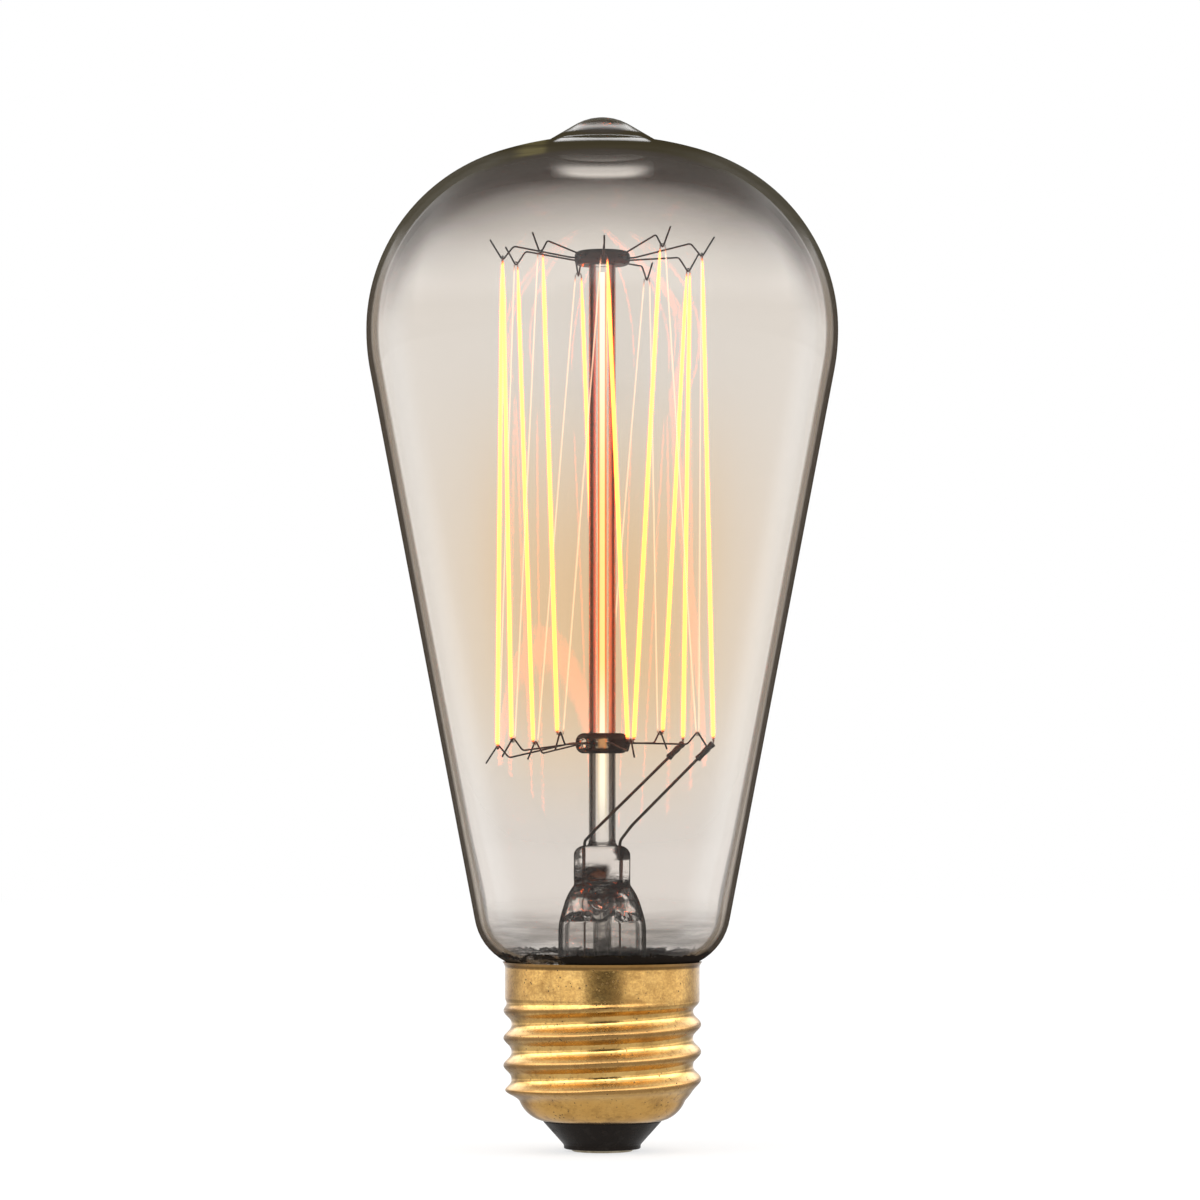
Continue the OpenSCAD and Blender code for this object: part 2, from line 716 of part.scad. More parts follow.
// The rolled brass shell: rings of points down the outside and back up the inside
module screw_shell() {
    low = thread_low_h - runout_h;
    high = thread_high_h + runout_h;
    rows = ceil((high - low) / shell_row_h);
    low_turn = asin((bowl_z - low) / bowl_r);
    heights = concat(
        [cap_h, cap_h - flare_h / 2, cap_h - flare_h],
        [for (i = [0:rows]) high - (high - low) * i / rows]
    );
    function flare_at(z) = flare_out * pow(max(0, (z - cap_h + flare_h) / flare_h), 2);
    function side_ring(z, t) = [for (k = [0:shell_sides - 1])
        let (a = 360 * k / shell_sides, r = thread_radius(z, a) + flare_at(z) - t)
        [r * cos(a), r * sin(a), z]];
    function bowl_ring(turn, t) = [for (k = [0:shell_sides - 1])
        let (a = 360 * k / shell_sides, r = bowl_x + (bowl_r - t) * cos(turn))
        [r * cos(a), r * sin(a), bowl_z - (bowl_r - t) * sin(turn)]];
    turns = [for (i = [1:bowl_rows]) mix(low_turn, bowl_turn, i / bowl_rows)];
    function rings(t) = concat(
        [for (z = heights) side_ring(z, t)],
        [for (turn = turns) bowl_ring(turn, t)]
    );
    inside = rings(sheet_t);
    color([0.8, 0.62, 0.3])
        skin(concat(rings(0), [for (i = [len(inside) - 1:-1:0]) inside[i]]), joined = true);
}

// Black glass that fills the mouth of the shell and carries the contact
module insulator() {
    fillet_z = contact_t + foot_h;
    cone = foot_d / 2 + foot_fillet * (1 - cos(cone_slope));
    cone_z = fillet_z + foot_fillet * sin(cone_slope);
    throat = mouth_r - seat_gap;
    hold_r = bowl_r - sheet_t - seat_gap;
    throat_z = bowl_z - sqrt(pow(hold_r, 2) - pow(throat - bowl_x, 2));
    color([0.08, 0.08, 0.09])
        rotate_extrude()
            polygon(concat(
                [[eyelet_r + seat_gap, contact_t], [foot_d / 2 - foot_bevel, contact_t]],
                [[foot_d / 2, contact_t + foot_bevel]],
                arc(foot_d / 2 + foot_fillet, fillet_z, foot_fillet, 180, 180 - cone_slope),
                [[throat, min(cone_z + (throat - cone) * tan(cone_slope), throat_z - rim_gap)]],
                arc(bowl_x, bowl_z, hold_r, -acos((throat - bowl_x) / hold_r),
                    -asin((bowl_z - insulator_top_z) / hold_r)),
                [[eyelet_r + seat_gap, insulator_top_z]]
            ));
}

// The contact plate and its eyelet, turned over on top of the insulator
module contact() {
    bore = eyelet_bore / 2;
    collar_z = insulator_top_z + seal_gap;
    color([0.75, 0.68, 0.5])
        rotate_extrude()
            polygon(concat(
                [[bore + dimple, 0]],
                arc(contact_d / 2 - contact_edge_r, contact_edge_r, contact_edge_r, -90, 0),
                [[contact_d / 2, contact_t - seal_gap], [eyelet_r, contact_t - seal_gap]],
                [[eyelet_r, collar_z], [collar_d / 2, collar_z]],
                [[collar_d / 2, collar_z + collar_t], [bore, collar_z + collar_t]],
                [[bore, dimple]]
            ));
}

// Solder that fills the dimple and plugs the eyelet round the lead's end
module contact_solder() {
    bore = eyelet_bore / 2 - seal_gap;
    color([0.7, 0.7, 0.7])
        rotate_extrude($fn = 32)
            polygon([
                [0, seat_gap], [bore + dimple - seat_gap, seat_gap],
                [bore, dimple], [bore, plug_top_z], [0, plug_top_z]
            ]);
}

glass_bulb();
stem();
exhaust_tube();
rod();
upper_button();
lower_button();
upper_hook(1);  // upper_hook_1
upper_hook(2);  // upper_hook_2
upper_hook(3);  // upper_hook_3
upper_hook(4);  // upper_hook_4
upper_hook(5);  // upper_hook_5
upper_hook(6);  // upper_hook_6
upper_hook(7);  // upper_hook_7
upper_hook(8);  // upper_hook_8
upper_hook(9);  // upper_hook_9
lower_hook(1);  // lower_hook_1
lower_hook(2);  // lower_hook_2
lower_hook(3);  // lower_hook_3
lower_hook(4);  // lower_hook_4
lower_hook(5);  // lower_hook_5
lower_hook(6);  // lower_hook_6
lower_hook(7);  // lower_hook_7
lower_hook(8);  // lower_hook_8
filament();
left_lead();
right_lead();
left_sleeve();
right_sleeve();
left_seal_wire();
right_seal_wire();
rim_lead();
contact_lead();
cement();
screw_shell();
rim_solder();
insulator();
contact();
contact_solder();
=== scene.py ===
"""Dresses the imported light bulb: blown glass, glass mount, lit coil on its hooks and brass cap.

Lengths are in millimetres, in the finishes too, and become metres when a mesh is made. Camera,
studio and noise scales are in metres. +Z runs from the centre contact to the glass tip, the
viewer stands on the -Y side, and a bearing is an angle from +X turning towards the viewer.
"""

import bpy
import numpy as np
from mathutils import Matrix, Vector


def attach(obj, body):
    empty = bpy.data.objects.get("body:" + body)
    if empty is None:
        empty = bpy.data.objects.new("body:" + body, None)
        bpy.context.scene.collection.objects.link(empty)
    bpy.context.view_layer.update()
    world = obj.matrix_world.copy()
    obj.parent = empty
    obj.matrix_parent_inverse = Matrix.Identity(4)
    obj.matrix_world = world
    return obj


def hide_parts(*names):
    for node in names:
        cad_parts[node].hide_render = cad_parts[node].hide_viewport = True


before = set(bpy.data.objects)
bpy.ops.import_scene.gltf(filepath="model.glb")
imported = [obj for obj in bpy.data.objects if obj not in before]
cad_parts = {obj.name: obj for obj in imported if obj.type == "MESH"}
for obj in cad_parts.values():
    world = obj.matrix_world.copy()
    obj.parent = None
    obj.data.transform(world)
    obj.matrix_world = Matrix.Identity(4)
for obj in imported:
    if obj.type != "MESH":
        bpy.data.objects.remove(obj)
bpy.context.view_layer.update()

MM = 0.001


# Camera

def add_object(name, data):
    """Puts a new object in the scene, at the origin."""
    made = bpy.data.objects.new(name, data)
    bpy.context.scene.collection.objects.link(made)
    return made


def stand_camera():
    """Stands the camera 627 mm in front of the lamp, tilted up a little."""
    data = bpy.data.cameras.new("camera")
    data.lens = 141.0
    data.sensor_width = 36.0
    data.clip_start = 0.02
    data.clip_end = 50.0
    camera = add_object("camera", data)
    camera.location = (-0.0003, -0.627, 0.047)
    camera.rotation_euler = (np.radians(92.4), 0.0, 0.0)
    bpy.context.scene.camera = camera


stand_camera()


# Sizes that the solids share

CAP_H = 25.1
CREST_R, ROOT_R, SKIRT_R = 13.15, 12.1, 12.95
PITCH, CREST_H = 3.629, 15.0
# Crests a little rounder than the solid's, as in the photograph
CREST_SHAPE = 1.35
THREAD_LOW, THREAD_HIGH, RUNOUT = 8.4, 18.6, 1.8
SHEET = 0.35
FLARE_OUT, FLARE_H = 0.35, 0.8
BOWL_X, BOWL_Z, BOWL_R, MOUTH_R = 7.0, 8.25, 4.3, 7.9
SEAT_GAP = 0.05
NECK_R, NECK_END = 10.9, 17.0
PRESS_TOP, CEILING = 40.5, 33.6
LEAD_X = 2.35
ROD_R, ROD_TOP = 1.8, 118.15
LOW_HUB, TOP_HUB = 54.1, 119.1
TOP_BEAD_R, LOW_BEAD_R = 3.7, 3.55
TOP_SEAT_R, LOW_SEAT_R = 13.5, 14.2
HOOK_D, LEAD_D = 0.24, 0.4
NEST_R = 0.415
TOP_SEAT_Z = TOP_HUB - 1.0 + np.array([1, 1.2, -0.4, 0.4, 0.6, 0.9, 0.1, -0.6, 0])
LOW_SEAT_Z = LOW_HUB + 0.8 + np.array([0.6, -0.3, 0.6, -0.2, -1.1, -0.5, 0, 0.9])
TOP_BEARING = 10 + 40 * np.arange(9) + np.array([0, 4, -1, -3, 0, 0, 6, 7, 0])
LOW_BEARING = 30 + 40 * np.arange(8) + np.array([-1.5, 5, 2.5, -5, 0, 0, 0, -6])


# Points and curves

def cage_point(bearing, r, z):
    """A point from its bearing in degrees, its distance from the axis and its height."""
    turn = np.radians(bearing)
    return np.array([r * np.cos(turn), -r * np.sin(turn), z])


def unit(v):
    """Vectors of length one along the last axis."""
    return v / np.linalg.norm(v, axis=-1, keepdims=True)


def squared(v, along):
    """Unit vectors square to the path: v less its share along the path."""
    return unit(v - np.einsum("ij,ij->i", v, along)[:, None] * along)


def arc(x, z, r, start, end, step=2.0):
    """Points on a circle about (x, z), from one angle to another in degrees."""
    count = max(2, int(np.ceil(abs(end - start) / step)))
    turn = np.radians(np.linspace(start, end, count + 1))
    return np.stack([x + r * np.cos(turn), z + r * np.sin(turn)], -1)


def full_turn(count):
    """Even angles once round, without the last one, which would repeat the first."""
    return np.linspace(0, 2 * np.pi, count, endpoint=False)


def distances(points):
    """How far along a path each of its points lies."""
    return np.r_[0, np.cumsum(np.linalg.norm(np.diff(points, axis=0), axis=1))]


def points_at(at, run, points):
    """Points on a path at the distances asked for, on straight lines between its points."""
    return np.stack([np.interp(at, run, points[:, k]) for k in range(points.shape[1])], -1)


def evened(points, step):
    """The same path with points an even step apart."""
    points = np.asarray(points, float)
    run = distances(points)
    at = np.linspace(0, run[-1], max(2, int(np.ceil(run[-1] / step)) + 1))
    return points_at(at, run, points)


def rounded(points, radius):
    """A path whose inner corners are quadratic curves that start and end one radius away."""
    points = np.asarray(points, float)
    back = unit(points[:-2] - points[1:-1]) * radius
    on = unit(points[2:] - points[1:-1]) * radius
    t = np.linspace(0, 1, 9)[None, :, None]
    corner = points[1:-1, None]
    curve = corner + back[:, None] * (1 - t) ** 2 + on[:, None] * t ** 2
    return np.vstack([points[:1], curve.reshape(-1, points.shape[1]), points[-1:]])


def fade(t):
    """Nothing below 0, all above 1, and a smooth rise between."""
    t = np.clip(t, 0, 1)
    return t * t * (3 - 2 * t)


def ripple(x, y, seed, waves, low, high):
    """A random smooth surface: a sum of sine waves in random directions, about -1 to 1."""
    rng = np.random.default_rng(seed)
    turn = rng.uniform(0, 2 * np.pi, waves)
    rate = rng.uniform(low, high, waves)
    shift = rng.uniform(0, 2 * np.pi, waves)
    total = np.zeros(np.broadcast(x, y).shape)
    for a, f, s in zip(turn, rate, shift):
        total += np.sin(f * (x * np.cos(a) + y * np.sin(a)) + s) / np.sqrt(waves)
    return total


# Meshes

def sheet_faces(rows, columns, close_rows):
    """Quads between neighbouring points of a grid that closes round its columns."""
    row = np.arange(rows if close_rows else rows - 1)[:, None] * columns
    column = np.arange(columns)[None, :]
    below = (row + columns) % (rows * columns)
    beside = (column + 1) % columns
    quads = np.stack([row + column, row + beside, below + beside, below + column], -1)
    return quads.reshape(-1, 4)


def end_fans(rows, columns):
    """Triangles from the middle points of the first and last ring, each with one corner twice."""
    k = np.arange(columns)
    after = (k + 1) % columns
    middle = rows * columns
    last = middle - columns
    start = np.stack([np.full(columns, middle), after, k, k], -1)
    end = np.stack([np.full(columns, middle + 1), last + k, last + after, last + after], -1)
    return np.vstack([start, end])


def enclosed(verts, quads):
    """Volume inside closed quads, which is negative where they face inwards."""
    a, b, c, d = (verts[quads[:, k]] for k in range(4))
    return (np.einsum("ij,ij->", a, np.cross(b, c)) + np.einsum("ij,ij->", a, np.cross(c, d))) / 6


def make_mesh(name, rings, close_rows=False):
    """A closed mesh over rings of points, each ring a row of the array.

    Where the last ring doesn't join the first, each end gets a middle point, so that the skin
    is closed. The faces are turned to point outwards.
    """
    rows, columns = rings.shape[:2]
    verts = rings.reshape(-1, 3)
    quads = sheet_faces(rows, columns, close_rows)
    if not close_rows:
        verts = np.vstack([verts, rings[0].mean(0), rings[-1].mean(0)])
        quads = np.vstack([quads, end_fans(rows, columns)])
    if enclosed(verts, quads) < 0:
        quads = quads[:, ::-1]
    fans = quads[:, 2] == quads[:, 3]
    turned_fans = quads[:, 0] == quads[:, 1]
    faces = quads[~(fans | turned_fans)].tolist()
    faces += quads[fans][:, :3].tolist() + quads[turned_fans][:, 1:].tolist()
    mesh = bpy.data.meshes.new(name)
    mesh.from_pydata((verts * MM).tolist(), [], faces)
    mesh.validate()
    return mesh


def mark_points(mesh, name, colours):
    """Stores a row of red, green, blue and alpha for each point of a mesh."""
    layer = mesh.color_attributes.new(name, "FLOAT_COLOR", "POINT")
    layer.data.foreach_set("color", colours.ravel())


def make_piece(mesh, finish, node, sharp=35.0):
    """Puts a mesh in the scene in place of a CAD node, riding with the lamp."""
    mesh.materials.append(finish)
    mesh.shade_smooth()
    if sharp:
        mesh.set_sharp_from_angle(angle=np.radians(sharp))
    piece = add_object(mesh.name, mesh)
    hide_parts(node)
    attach(piece, "root")


def dress_node(node, finish):
    """Gives a CAD node that keeps its shape a new finish."""
    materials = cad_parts[node].data.materials
    materials.clear()
    materials.append(finish)


def ring_points(r, z, turn):
    """Points at each distance from the axis, height and angle."""
    r, z, turn = np.broadcast_arrays(r, z, turn)
    return np.stack([r * np.cos(turn), r * np.sin(turn), z], -1)


def turned(name, outline, around, closed=False):
    """A body of revolution: each outline point (r, z) becomes a ring about the axis."""
    return make_mesh(name, ring_points(outline[:, :1], outline[:, 1:], full_turn(around)), closed)


def carried(path, radius, turn, first, second):
    """Rings: the circle of two unit vectors, times the radius, carried along a path."""
    turn = turn[None, :, None]
    spokes = np.cos(turn) * first[:, None] + np.sin(turn) * second[:, None]
    return path[:, None] + radius[:, None, None] * spokes


def swept(name, path, radius, sides, side_way, wobble, seed):
    """A wire: a circle carried along a path, turned so that its first side faces side_way.

    The radius may change along the path, and wobbles by a random share of itself.
    """
    path = np.asarray(path, float)
    along = unit(np.gradient(path, axis=0))
    normal = squared(np.broadcast_to(side_way, path.shape), along)
    run = np.arange(len(path)) * 0.35
    radius = radius * (1 + wobble * ripple(run, 0 * run, seed, 12, 0.5, 3.0))
    return make_mesh(name, carried(path, radius, full_turn(sides), normal, np.cross(along, normal)))


# Finishes

class Value:
    """A shader value whose operators add Math nodes to its finish.

    The greater of two values is a | b, and the lesser is a & b.
    """

    def __init__(self, finish, socket):
        self.finish = finish
        self.socket = socket

    def math(self, operation, first, second):
        return self.finish.node("Math", {0: first, 1: second}, operation=operation)

    def __add__(self, other):
        return self.math("ADD", self, other)

    __radd__ = __add__

    def __sub__(self, other):
        return self.math("SUBTRACT", self, other)

    def __rsub__(self, other):
        return self.math("SUBTRACT", other, self)

    def __mul__(self, other):
        return self.math("MULTIPLY", self, other)

    __rmul__ = __mul__

    def __pow__(self, other):
        return self.math("POWER", self, other)

    def __or__(self, other):
        return self.math("MAXIMUM", self, other)

    def __and__(self, other):
        return self.math("MINIMUM", self, other)


def rgba(tone):
    """A colour with its alpha. A plain number stands for a grey."""
    return (*tone, 1.0) if isinstance(tone, tuple) else (tone, tone, tone, 1.0)


class Finish:
    """The nodes of a material or of the world."""

    def __init__(self, owner):
        owner.use_nodes = True
        self.owner = owner
        self.tree = owner.node_tree
        self.tree.nodes.clear()

    def node(self, kind, inputs=None, output=0, stops=None, **settings):
        """Adds a node, sets its settings and stops, joins or sets its inputs, gives an output."""
        made = self.tree.nodes.new("ShaderNode" + kind)
        for key, value in settings.items():
            setattr(made, key, value)
        if stops:
            ramp = made.color_ramp
            while len(ramp.elements) < len(stops):
                ramp.elements.new(0.5)
            for element, (place, tone) in zip(ramp.elements, stops):
                element.position = place
                element.color = rgba(tone)
        for key, value in (inputs or {}).items():
            socket = made.inputs[key]
            if isinstance(value, Value):
                self.tree.links.new(value.socket, socket)
            else:
                socket.default_value = rgba(value) if socket.type == "RGBA" else value
        return Value(self, made.outputs[output]) if made.outputs else None

    def place(self):
        """The point on the object, in metres."""
        return self.node("TexCoord", output="Object")

    def axes(self, names):
        """The point's place along each of the named axes, in millimetres."""
        place = self.place()
        return [self.node("SeparateXYZ", {0: place}, output=name) * (1 / MM) for name in names]

    def vector(self, operation, *parts, output=0):
        return self.node("VectorMath", dict(enumerate(parts)), output, operation=operation)

    def noise(self, scale, detail=4.0, rough=0.55):
        """Noise with one scale, or with a scale for each axis."""
        at = self.place()
        if isinstance(scale, tuple):
            at, scale = self.node("Mapping", {"Vector": at, "Scale": scale}), 1.0
        inputs = {"Vector": at, "Scale": scale, "Detail": detail, "Roughness": rough}
        return self.node("TexNoise", inputs)

    def ramp(self, factor, *stops):
        """The tone at a value, smooth between stops of a place and a tone."""
        return self.node("ValToRGB", {"Fac": factor}, stops=stops)

    def rise(self, value, low, high):
        """Rises smoothly from 0 at the low value to 1 at the high one."""
        return self.node("MapRange", {0: value, 1: low, 2: high}, interpolation_type="SMOOTHSTEP")

    def fall(self, value, low, high):
        """Falls smoothly from 1 at the low value to 0 at the high one."""
        return 1.0 - self.rise(value, low, high)

    def window(self, value, low, full, leave, high):
        """Rises from 0 at low to 1 at full, and falls from leave to 0 at high."""
        return self.rise(value, low, full) * self.fall(value, leave, high)

    def blend(self, factor, first, second):
        """Mixes two colours."""
        return self.node("Mix", {0: factor, 6: first, 7: second}, output=2, data_type="RGBA")

    def mix(self, factor, first, second):
        """Mixes two shaders."""
        return self.node("MixShader", {0: factor, 1: first, 2: second})

    def facing(self, normal=None):
        """Nothing where the surface, or another normal, faces the eye, all where it turns away."""
        inputs = {"Blend": 0.5} if normal is None else {"Blend": 0.5, "Normal": normal}
        return self.node("LayerWeight", inputs, output="Facing")

    def bump(self, height, distance, strength=1.0):
        """Dents as deep as the distance in millimetres."""
        return self.node("Bump", {"Height": height, "Distance": distance * MM, "Strength": strength})

    def rays(self):
        """Whether a ray comes from the eye, a gloss, a passage through glass or a mirror image."""
        kinds = ("Camera", "Glossy", "Transmission", "Reflection")
        return [self.node("LightPath", output=f"Is {kind} Ray") for kind in kinds]

    def finish(self, shader):
        self.node("OutputMaterial", {"Surface": shader})
        return self.owner


def material(name):
    return Finish(bpy.data.materials.new(name))


CLEAR = (0.95, 0.94, 0.93)
GLASS_IOR = 1.52


def shaded_glass(f, shade, dark, tint=CLEAR, ior=GLASS_IOR, mirror=1.0):
    """Clear glass mixed with a dark tone where the light inside is turned away from the eye.

    The mirror is how strongly the glass shows what it reflects.
    """
    clear = f.node("BsdfPrincipled", {
        "Base Color": tint, "Roughness": 0.0, "IOR": ior, "Transmission Weight": 1.0,
        "Specular Tint": mirror})
    turned_away = f.node("BsdfPrincipled", {
        "Base Color": dark, "Roughness": 0.6, "Specular IOR Level": 0.0})
    return f.finish(f.mix(shade, clear, turned_away))


def bulb_glass():
    """Thin glass with painted shade: a dark line and an olive band along every outline.

    The band keeps one width, so it is worked out from the facing and from how narrow the bulb
    is at that height. Round the lower half of the cage the glass is tinted amber with the coil's
    painted glow.
    """
    f = material("bulb_glass")
    x, y, z = f.axes("XYZ")
    off, away = x * x, x * x + y * y
    front = f.fall(y, 0, 2)
    inner = f.node("Attribute", output="Fac", attribute_name="inner_wall")
    # On the cone the normal is laid flat, so that a view from above doesn't darken all of it
    cone = f.window(z, 36, 46, 100, 109)
    level = f.node("CombineXYZ", {"X": 1, "Y": 1, "Z": 1 - cone})
    normal = f.vector("MULTIPLY", f.node("TexCoord", output="Normal"), level)
    facing = f.facing(f.vector("NORMALIZE", normal))
    slim = f.node("MapRange", {0: z, 1: 30, 2: 100, 3: 0.75, 4: 1})
    square_on = (1 - facing) * slim

    # Painted shade: the outline and band, and a darkening of the dome towards its brow
    band = f.ramp(square_on + inner * 0.085,
                  (0, 0.98), (0.19, 0.96), (0.23, 0.74), (0.29, 0.66), (0.325, 0))
    dome_shade = f.ramp(facing, (0.05, 0), (0.12, 0.03), (0.18, 0.12), (0.25, 0.22), (0.32, 0.32),
                   (0.4, 0.41), (0.5, 0.58), (0.57, 0.78), (0.65, 0.88))
    brow = f.ramp(facing, (0.4, 0), (0.52, 0.32), (0.62, 0.62), (0.675, 0.7), (0.69, 0.5),
                  (0.705, 0.93), (0.8, 0.98))
    crown = f.rise(z, 109, 123)
    shade = band | dome_shade * f.rise(z, 112, 133) * 1.14 | brow * crown

    # A highlight in front, and its image at the back
    highlight = f.fall(z, 127.8, 128.9) * f.rise(z - off * 0.042, 125.7, 126.9) * front
    image = f.window(z, 132.2, 132.8, 133.4, 133.9) * f.fall(off, 10, 60) * (1 - front)
    shade = shade * (1 - (highlight | image) * 0.97)

    # Painted shade on the tip, dark at its edges, and below it a collar of painted light
    # crossed by a thin line of painted shade on the outer wall
    tip = f.fall(away, 33, 38.5)
    tip_edge = f.fall(square_on, 0.14, 0.26) | f.rise(z, 136.3, 137)
    shade = shade * (1 - tip) + tip * (tip_edge * 0.68 + 0.26)
    outer_wall = f.rise(away + (z - 88.7) ** 2, 2125, 2143)
    painted_collar = (f.window(z, 132.8, 133.3, 134.5, 134.9) * front * outer_wall
              * f.fall(off - (136 - z) * 9, 9, 17))
    shade_line = f.window(z, 133.8, 134.1, 134.3, 134.5) * f.fall(off, 12, 18)
    shade = shade * (1 - painted_collar) + painted_collar * (0.6 + shade_line * 0.25)

    # Painted shade in streaks towards the foot, and ragged soot at the neck with a bare
    # stretch on the left
    streak = f.rise(f.noise((90, 90, 900), 3), 0.4, 0.6)
    foot = f.fall(z, 28.3, 33.2) * (streak * 0.15 + 0.09)
    ragged = f.noise((420, 420, 700), 7, 0.75)
    edge = z + (ragged - 0.5) * 3.4
    bare = f.fall(x, -5.5, -4) * 0.95
    soot = f.fall(edge, 26.2, 26.4) * f.rise(edge - bare, 24.6, 24.9)
    shade = shade | foot | soot * 0.97

    # The shade is brown at the outline, olive on the crown with a yellow patch, black in soot
    dark = f.ramp(
        square_on, (0, (0.038, 0.028, 0.019)), (0.19, (0.042, 0.031, 0.021)),
        (0.24, (0.17, 0.125, 0.08)), (0.32, (0.18, 0.135, 0.09)), (0.42, (0.05, 0.041, 0.03)),
        (0.6, (0.045, 0.037, 0.027)))
    wisp = f.noise((60, 60, 1500), 3)
    patch = (f.window(x, -12.2, -9.8, -8, -6.8) * front * f.rise(z, 129.7, 130.5)
             * f.rise(wisp, 0.3, 0.6))
    olive = f.blend(wisp, (0.033, 0.027, 0.014), (0.05, 0.041, 0.024))
    olive = f.blend(patch * 0.7, olive, (0.13, 0.108, 0.045))
    olive = f.blend(f.rise(square_on, 0.3, 0.36), olive, (0.045, 0.037, 0.029))
    dark = f.blend(crown, dark, olive)
    dark = f.blend(soot, dark, (0.014, 0.011, 0.009))

    # The clear glass is tinted, amber with the coil's painted glow round the cage, and lighter
    # in a painted highlight strip beside the band
    plain = f.blend(f.fall(z, 34, 58), (0.85, 0.813, 0.77), (0.826, 0.789, 0.754))
    amber = f.window(z, 40, 66, 72, 108) * f.fall(facing, 0.04, 0.28)
    tint = f.blend(amber, plain, (0.874, 0.73, 0.56))
    strip = f.window(square_on, 0.34, 0.39, 0.46, 0.6) * f.fall(z, 108, 120)
    tint = f.blend(strip, tint, (0.905, 0.885, 0.862))
    return shaded_glass(f, shade, dark, tint, 1.5, 0.34)


def rod_glass():
    """Solid round glass: a clear core between two strips of painted shade, with bright outer
    edges. Beside the coil the strips are edged with the coil's painted glow: red, and orange on
    the side of the nearest span."""
    f = material("rod_glass")
    x, z = f.axes("XZ")
    facing = f.facing()
    shade = f.ramp(facing, (0, 0), (0.1, 0.05), (0.15, 0.8), (0.45, 0.9), (0.56, 0.35),
                   (0.63, 0.05))
    red = f.ramp(facing, (0.12, (0.8, 0.22, 0.12)), (0.19, (0.5, 0.07, 0.05)),
                 (0.27, (0.045, 0.03, 0.028)))
    orange = f.ramp(facing, (0.12, (0.9, 0.4, 0.16)), (0.26, (0.6, 0.17, 0.09)),
                    (0.36, (0.1, 0.05, 0.04)))
    warm = f.rise(z, 54.5, 56) * (1 - f.rise(z, 105, 122) * 0.6)
    strip = f.blend(warm, (0.035, 0.028, 0.024), f.blend(f.rise(x, 0.1, 0.5), red, orange))
    return shaded_glass(f, shade, strip, (0.97, 0.965, 0.95))


def tube_glass():
    """The exhaust tube: clear, with a dark line of painted shade and then a bright one beside each
    edge.
    """
    f = material("tube_glass")
    shade = f.ramp(f.facing(), (0, 0.08), (0.22, 0.14), (0.32, 0.8), (0.4, 0.8), (0.47, 0),
                   (0.68, 0), (0.76, 0.8), (1, 0.95))
    return shaded_glass(f, shade, (0.035, 0.03, 0.026), (0.95, 0.945, 0.93))


def piped_light():
    """Painted light: a glowing core in the rod for the coil's light caught in it, pale with orange
    edges, whiter at both ends and speckled with amber inside the low bead."""
    f = material("piped_light")
    z, = f.axes("Z")
    warm = f.window(z, 56, 66, 85, 112)
    middle = f.blend(warm, (1, 0.96, 0.82), (1, 0.84, 0.36))
    rim = f.blend(warm, (0.8, 0.36, 0.2), (0.8, 0.16, 0.05))
    rim = f.blend(f.rise(z, 52, 57), (0.78, 0.7, 0.52), rim)
    in_bead = f.window(z, LOW_HUB - 1.5, LOW_HUB - 1.1, LOW_HUB + 1, LOW_HUB + 1.4)
    speckle = f.rise(f.noise(1500, 4), 0.42, 0.58)
    amber = f.blend(speckle, (0.1, 0.035, 0.012), (0.72, 0.34, 0.1))
    tone = f.blend(in_bead * 0.9, f.blend(f.rise(f.facing(), 0.08, 0.36), middle, rim), amber)
    light = f.node("Emission", {"Color": tone, "Strength": 1.5})
    return f.finish(f.mix(f.rise(z, 41.5, 51) * 0.9, f.node("BsdfTransparent"), light))


def mount_glass():
    """Glass worked in the flame: clear, with painted shade along its outlines, on the corners of the
    press and in a folded swirl under it, a coppery patch in it, and a sooty ragged foot down in
    the cement."""
    f = material("mount_glass")
    x, z = f.axes("XZ")
    fold = f.noise((260, 260, 800), 5, 0.6)
    grain = f.noise((900, 900, 160))
    ragged = f.noise(1100, 6, 0.7)
    outline = f.ramp(f.facing(), (0, 0), (0.49, 0), (0.59, 0.92), (1, 0.97))
    swirl = f.window(z, 32.2, 33.8, 35.2, 37.2) * f.rise(fold, 0.47, 0.53)
    patch = (f.window(x, -4.2, -3.4, 0.2, 1.4) * f.window(z, 34.2, 35.2, 37.2, 38.4)
             * f.rise(fold, 0.36, 0.5))
    streak = f.fall(x, -3.4, -2.6) * f.rise(z, 36.5, 38) * f.rise(grain, 0.42, 0.55)
    foot = f.fall(z + (ragged - 0.5) * 3, 25.8, 26.2)
    beside = x + (fold - 0.5) * 2
    corner = ((f.fall(beside, -3, -2.5) + f.rise(beside, 1.5, 2))
              * f.rise(z + (fold - 0.5) * 3, 38.3, 38.8))
    # The outline, swirl and corner are painted shade
    shade = outline | swirl * 0.9 | patch * 0.93 | streak * 0.85 | foot * 0.97 | corner * 0.9
    copper = f.blend(f.rise(fold, 0.5, 0.62), (0.035, 0.017, 0.009), (0.16, 0.06, 0.022))
    return shaded_glass(f, shade, f.blend(patch, (0.028, 0.024, 0.02), copper))


def bead_glass():
    """The top bead: painted shade makes it nearly black, darker on lumps at its ends, with a small
    painted glint in each.
    """
    f = material("bead_glass")
    x, z = f.axes("XZ")
    off = x * x
    shade = f.ramp(f.facing(), (0, 0.96), (0.3, 0.95), (0.55, 0.9), (0.8, 0.75))
    glint = (f.window(off, 7.4, 8.4, 10, 11.2)
             * f.window(z, TOP_HUB - 0.4, TOP_HUB - 0.2, TOP_HUB + 0.1, TOP_HUB + 0.3))
    dark = f.blend(f.rise(off, 7.8, 10.4), (0.04, 0.035, 0.032), (0.014, 0.012, 0.011))
    return shaded_glass(f, shade * (1 - glint * 0.8), dark, (0.95, 0.92, 0.91))


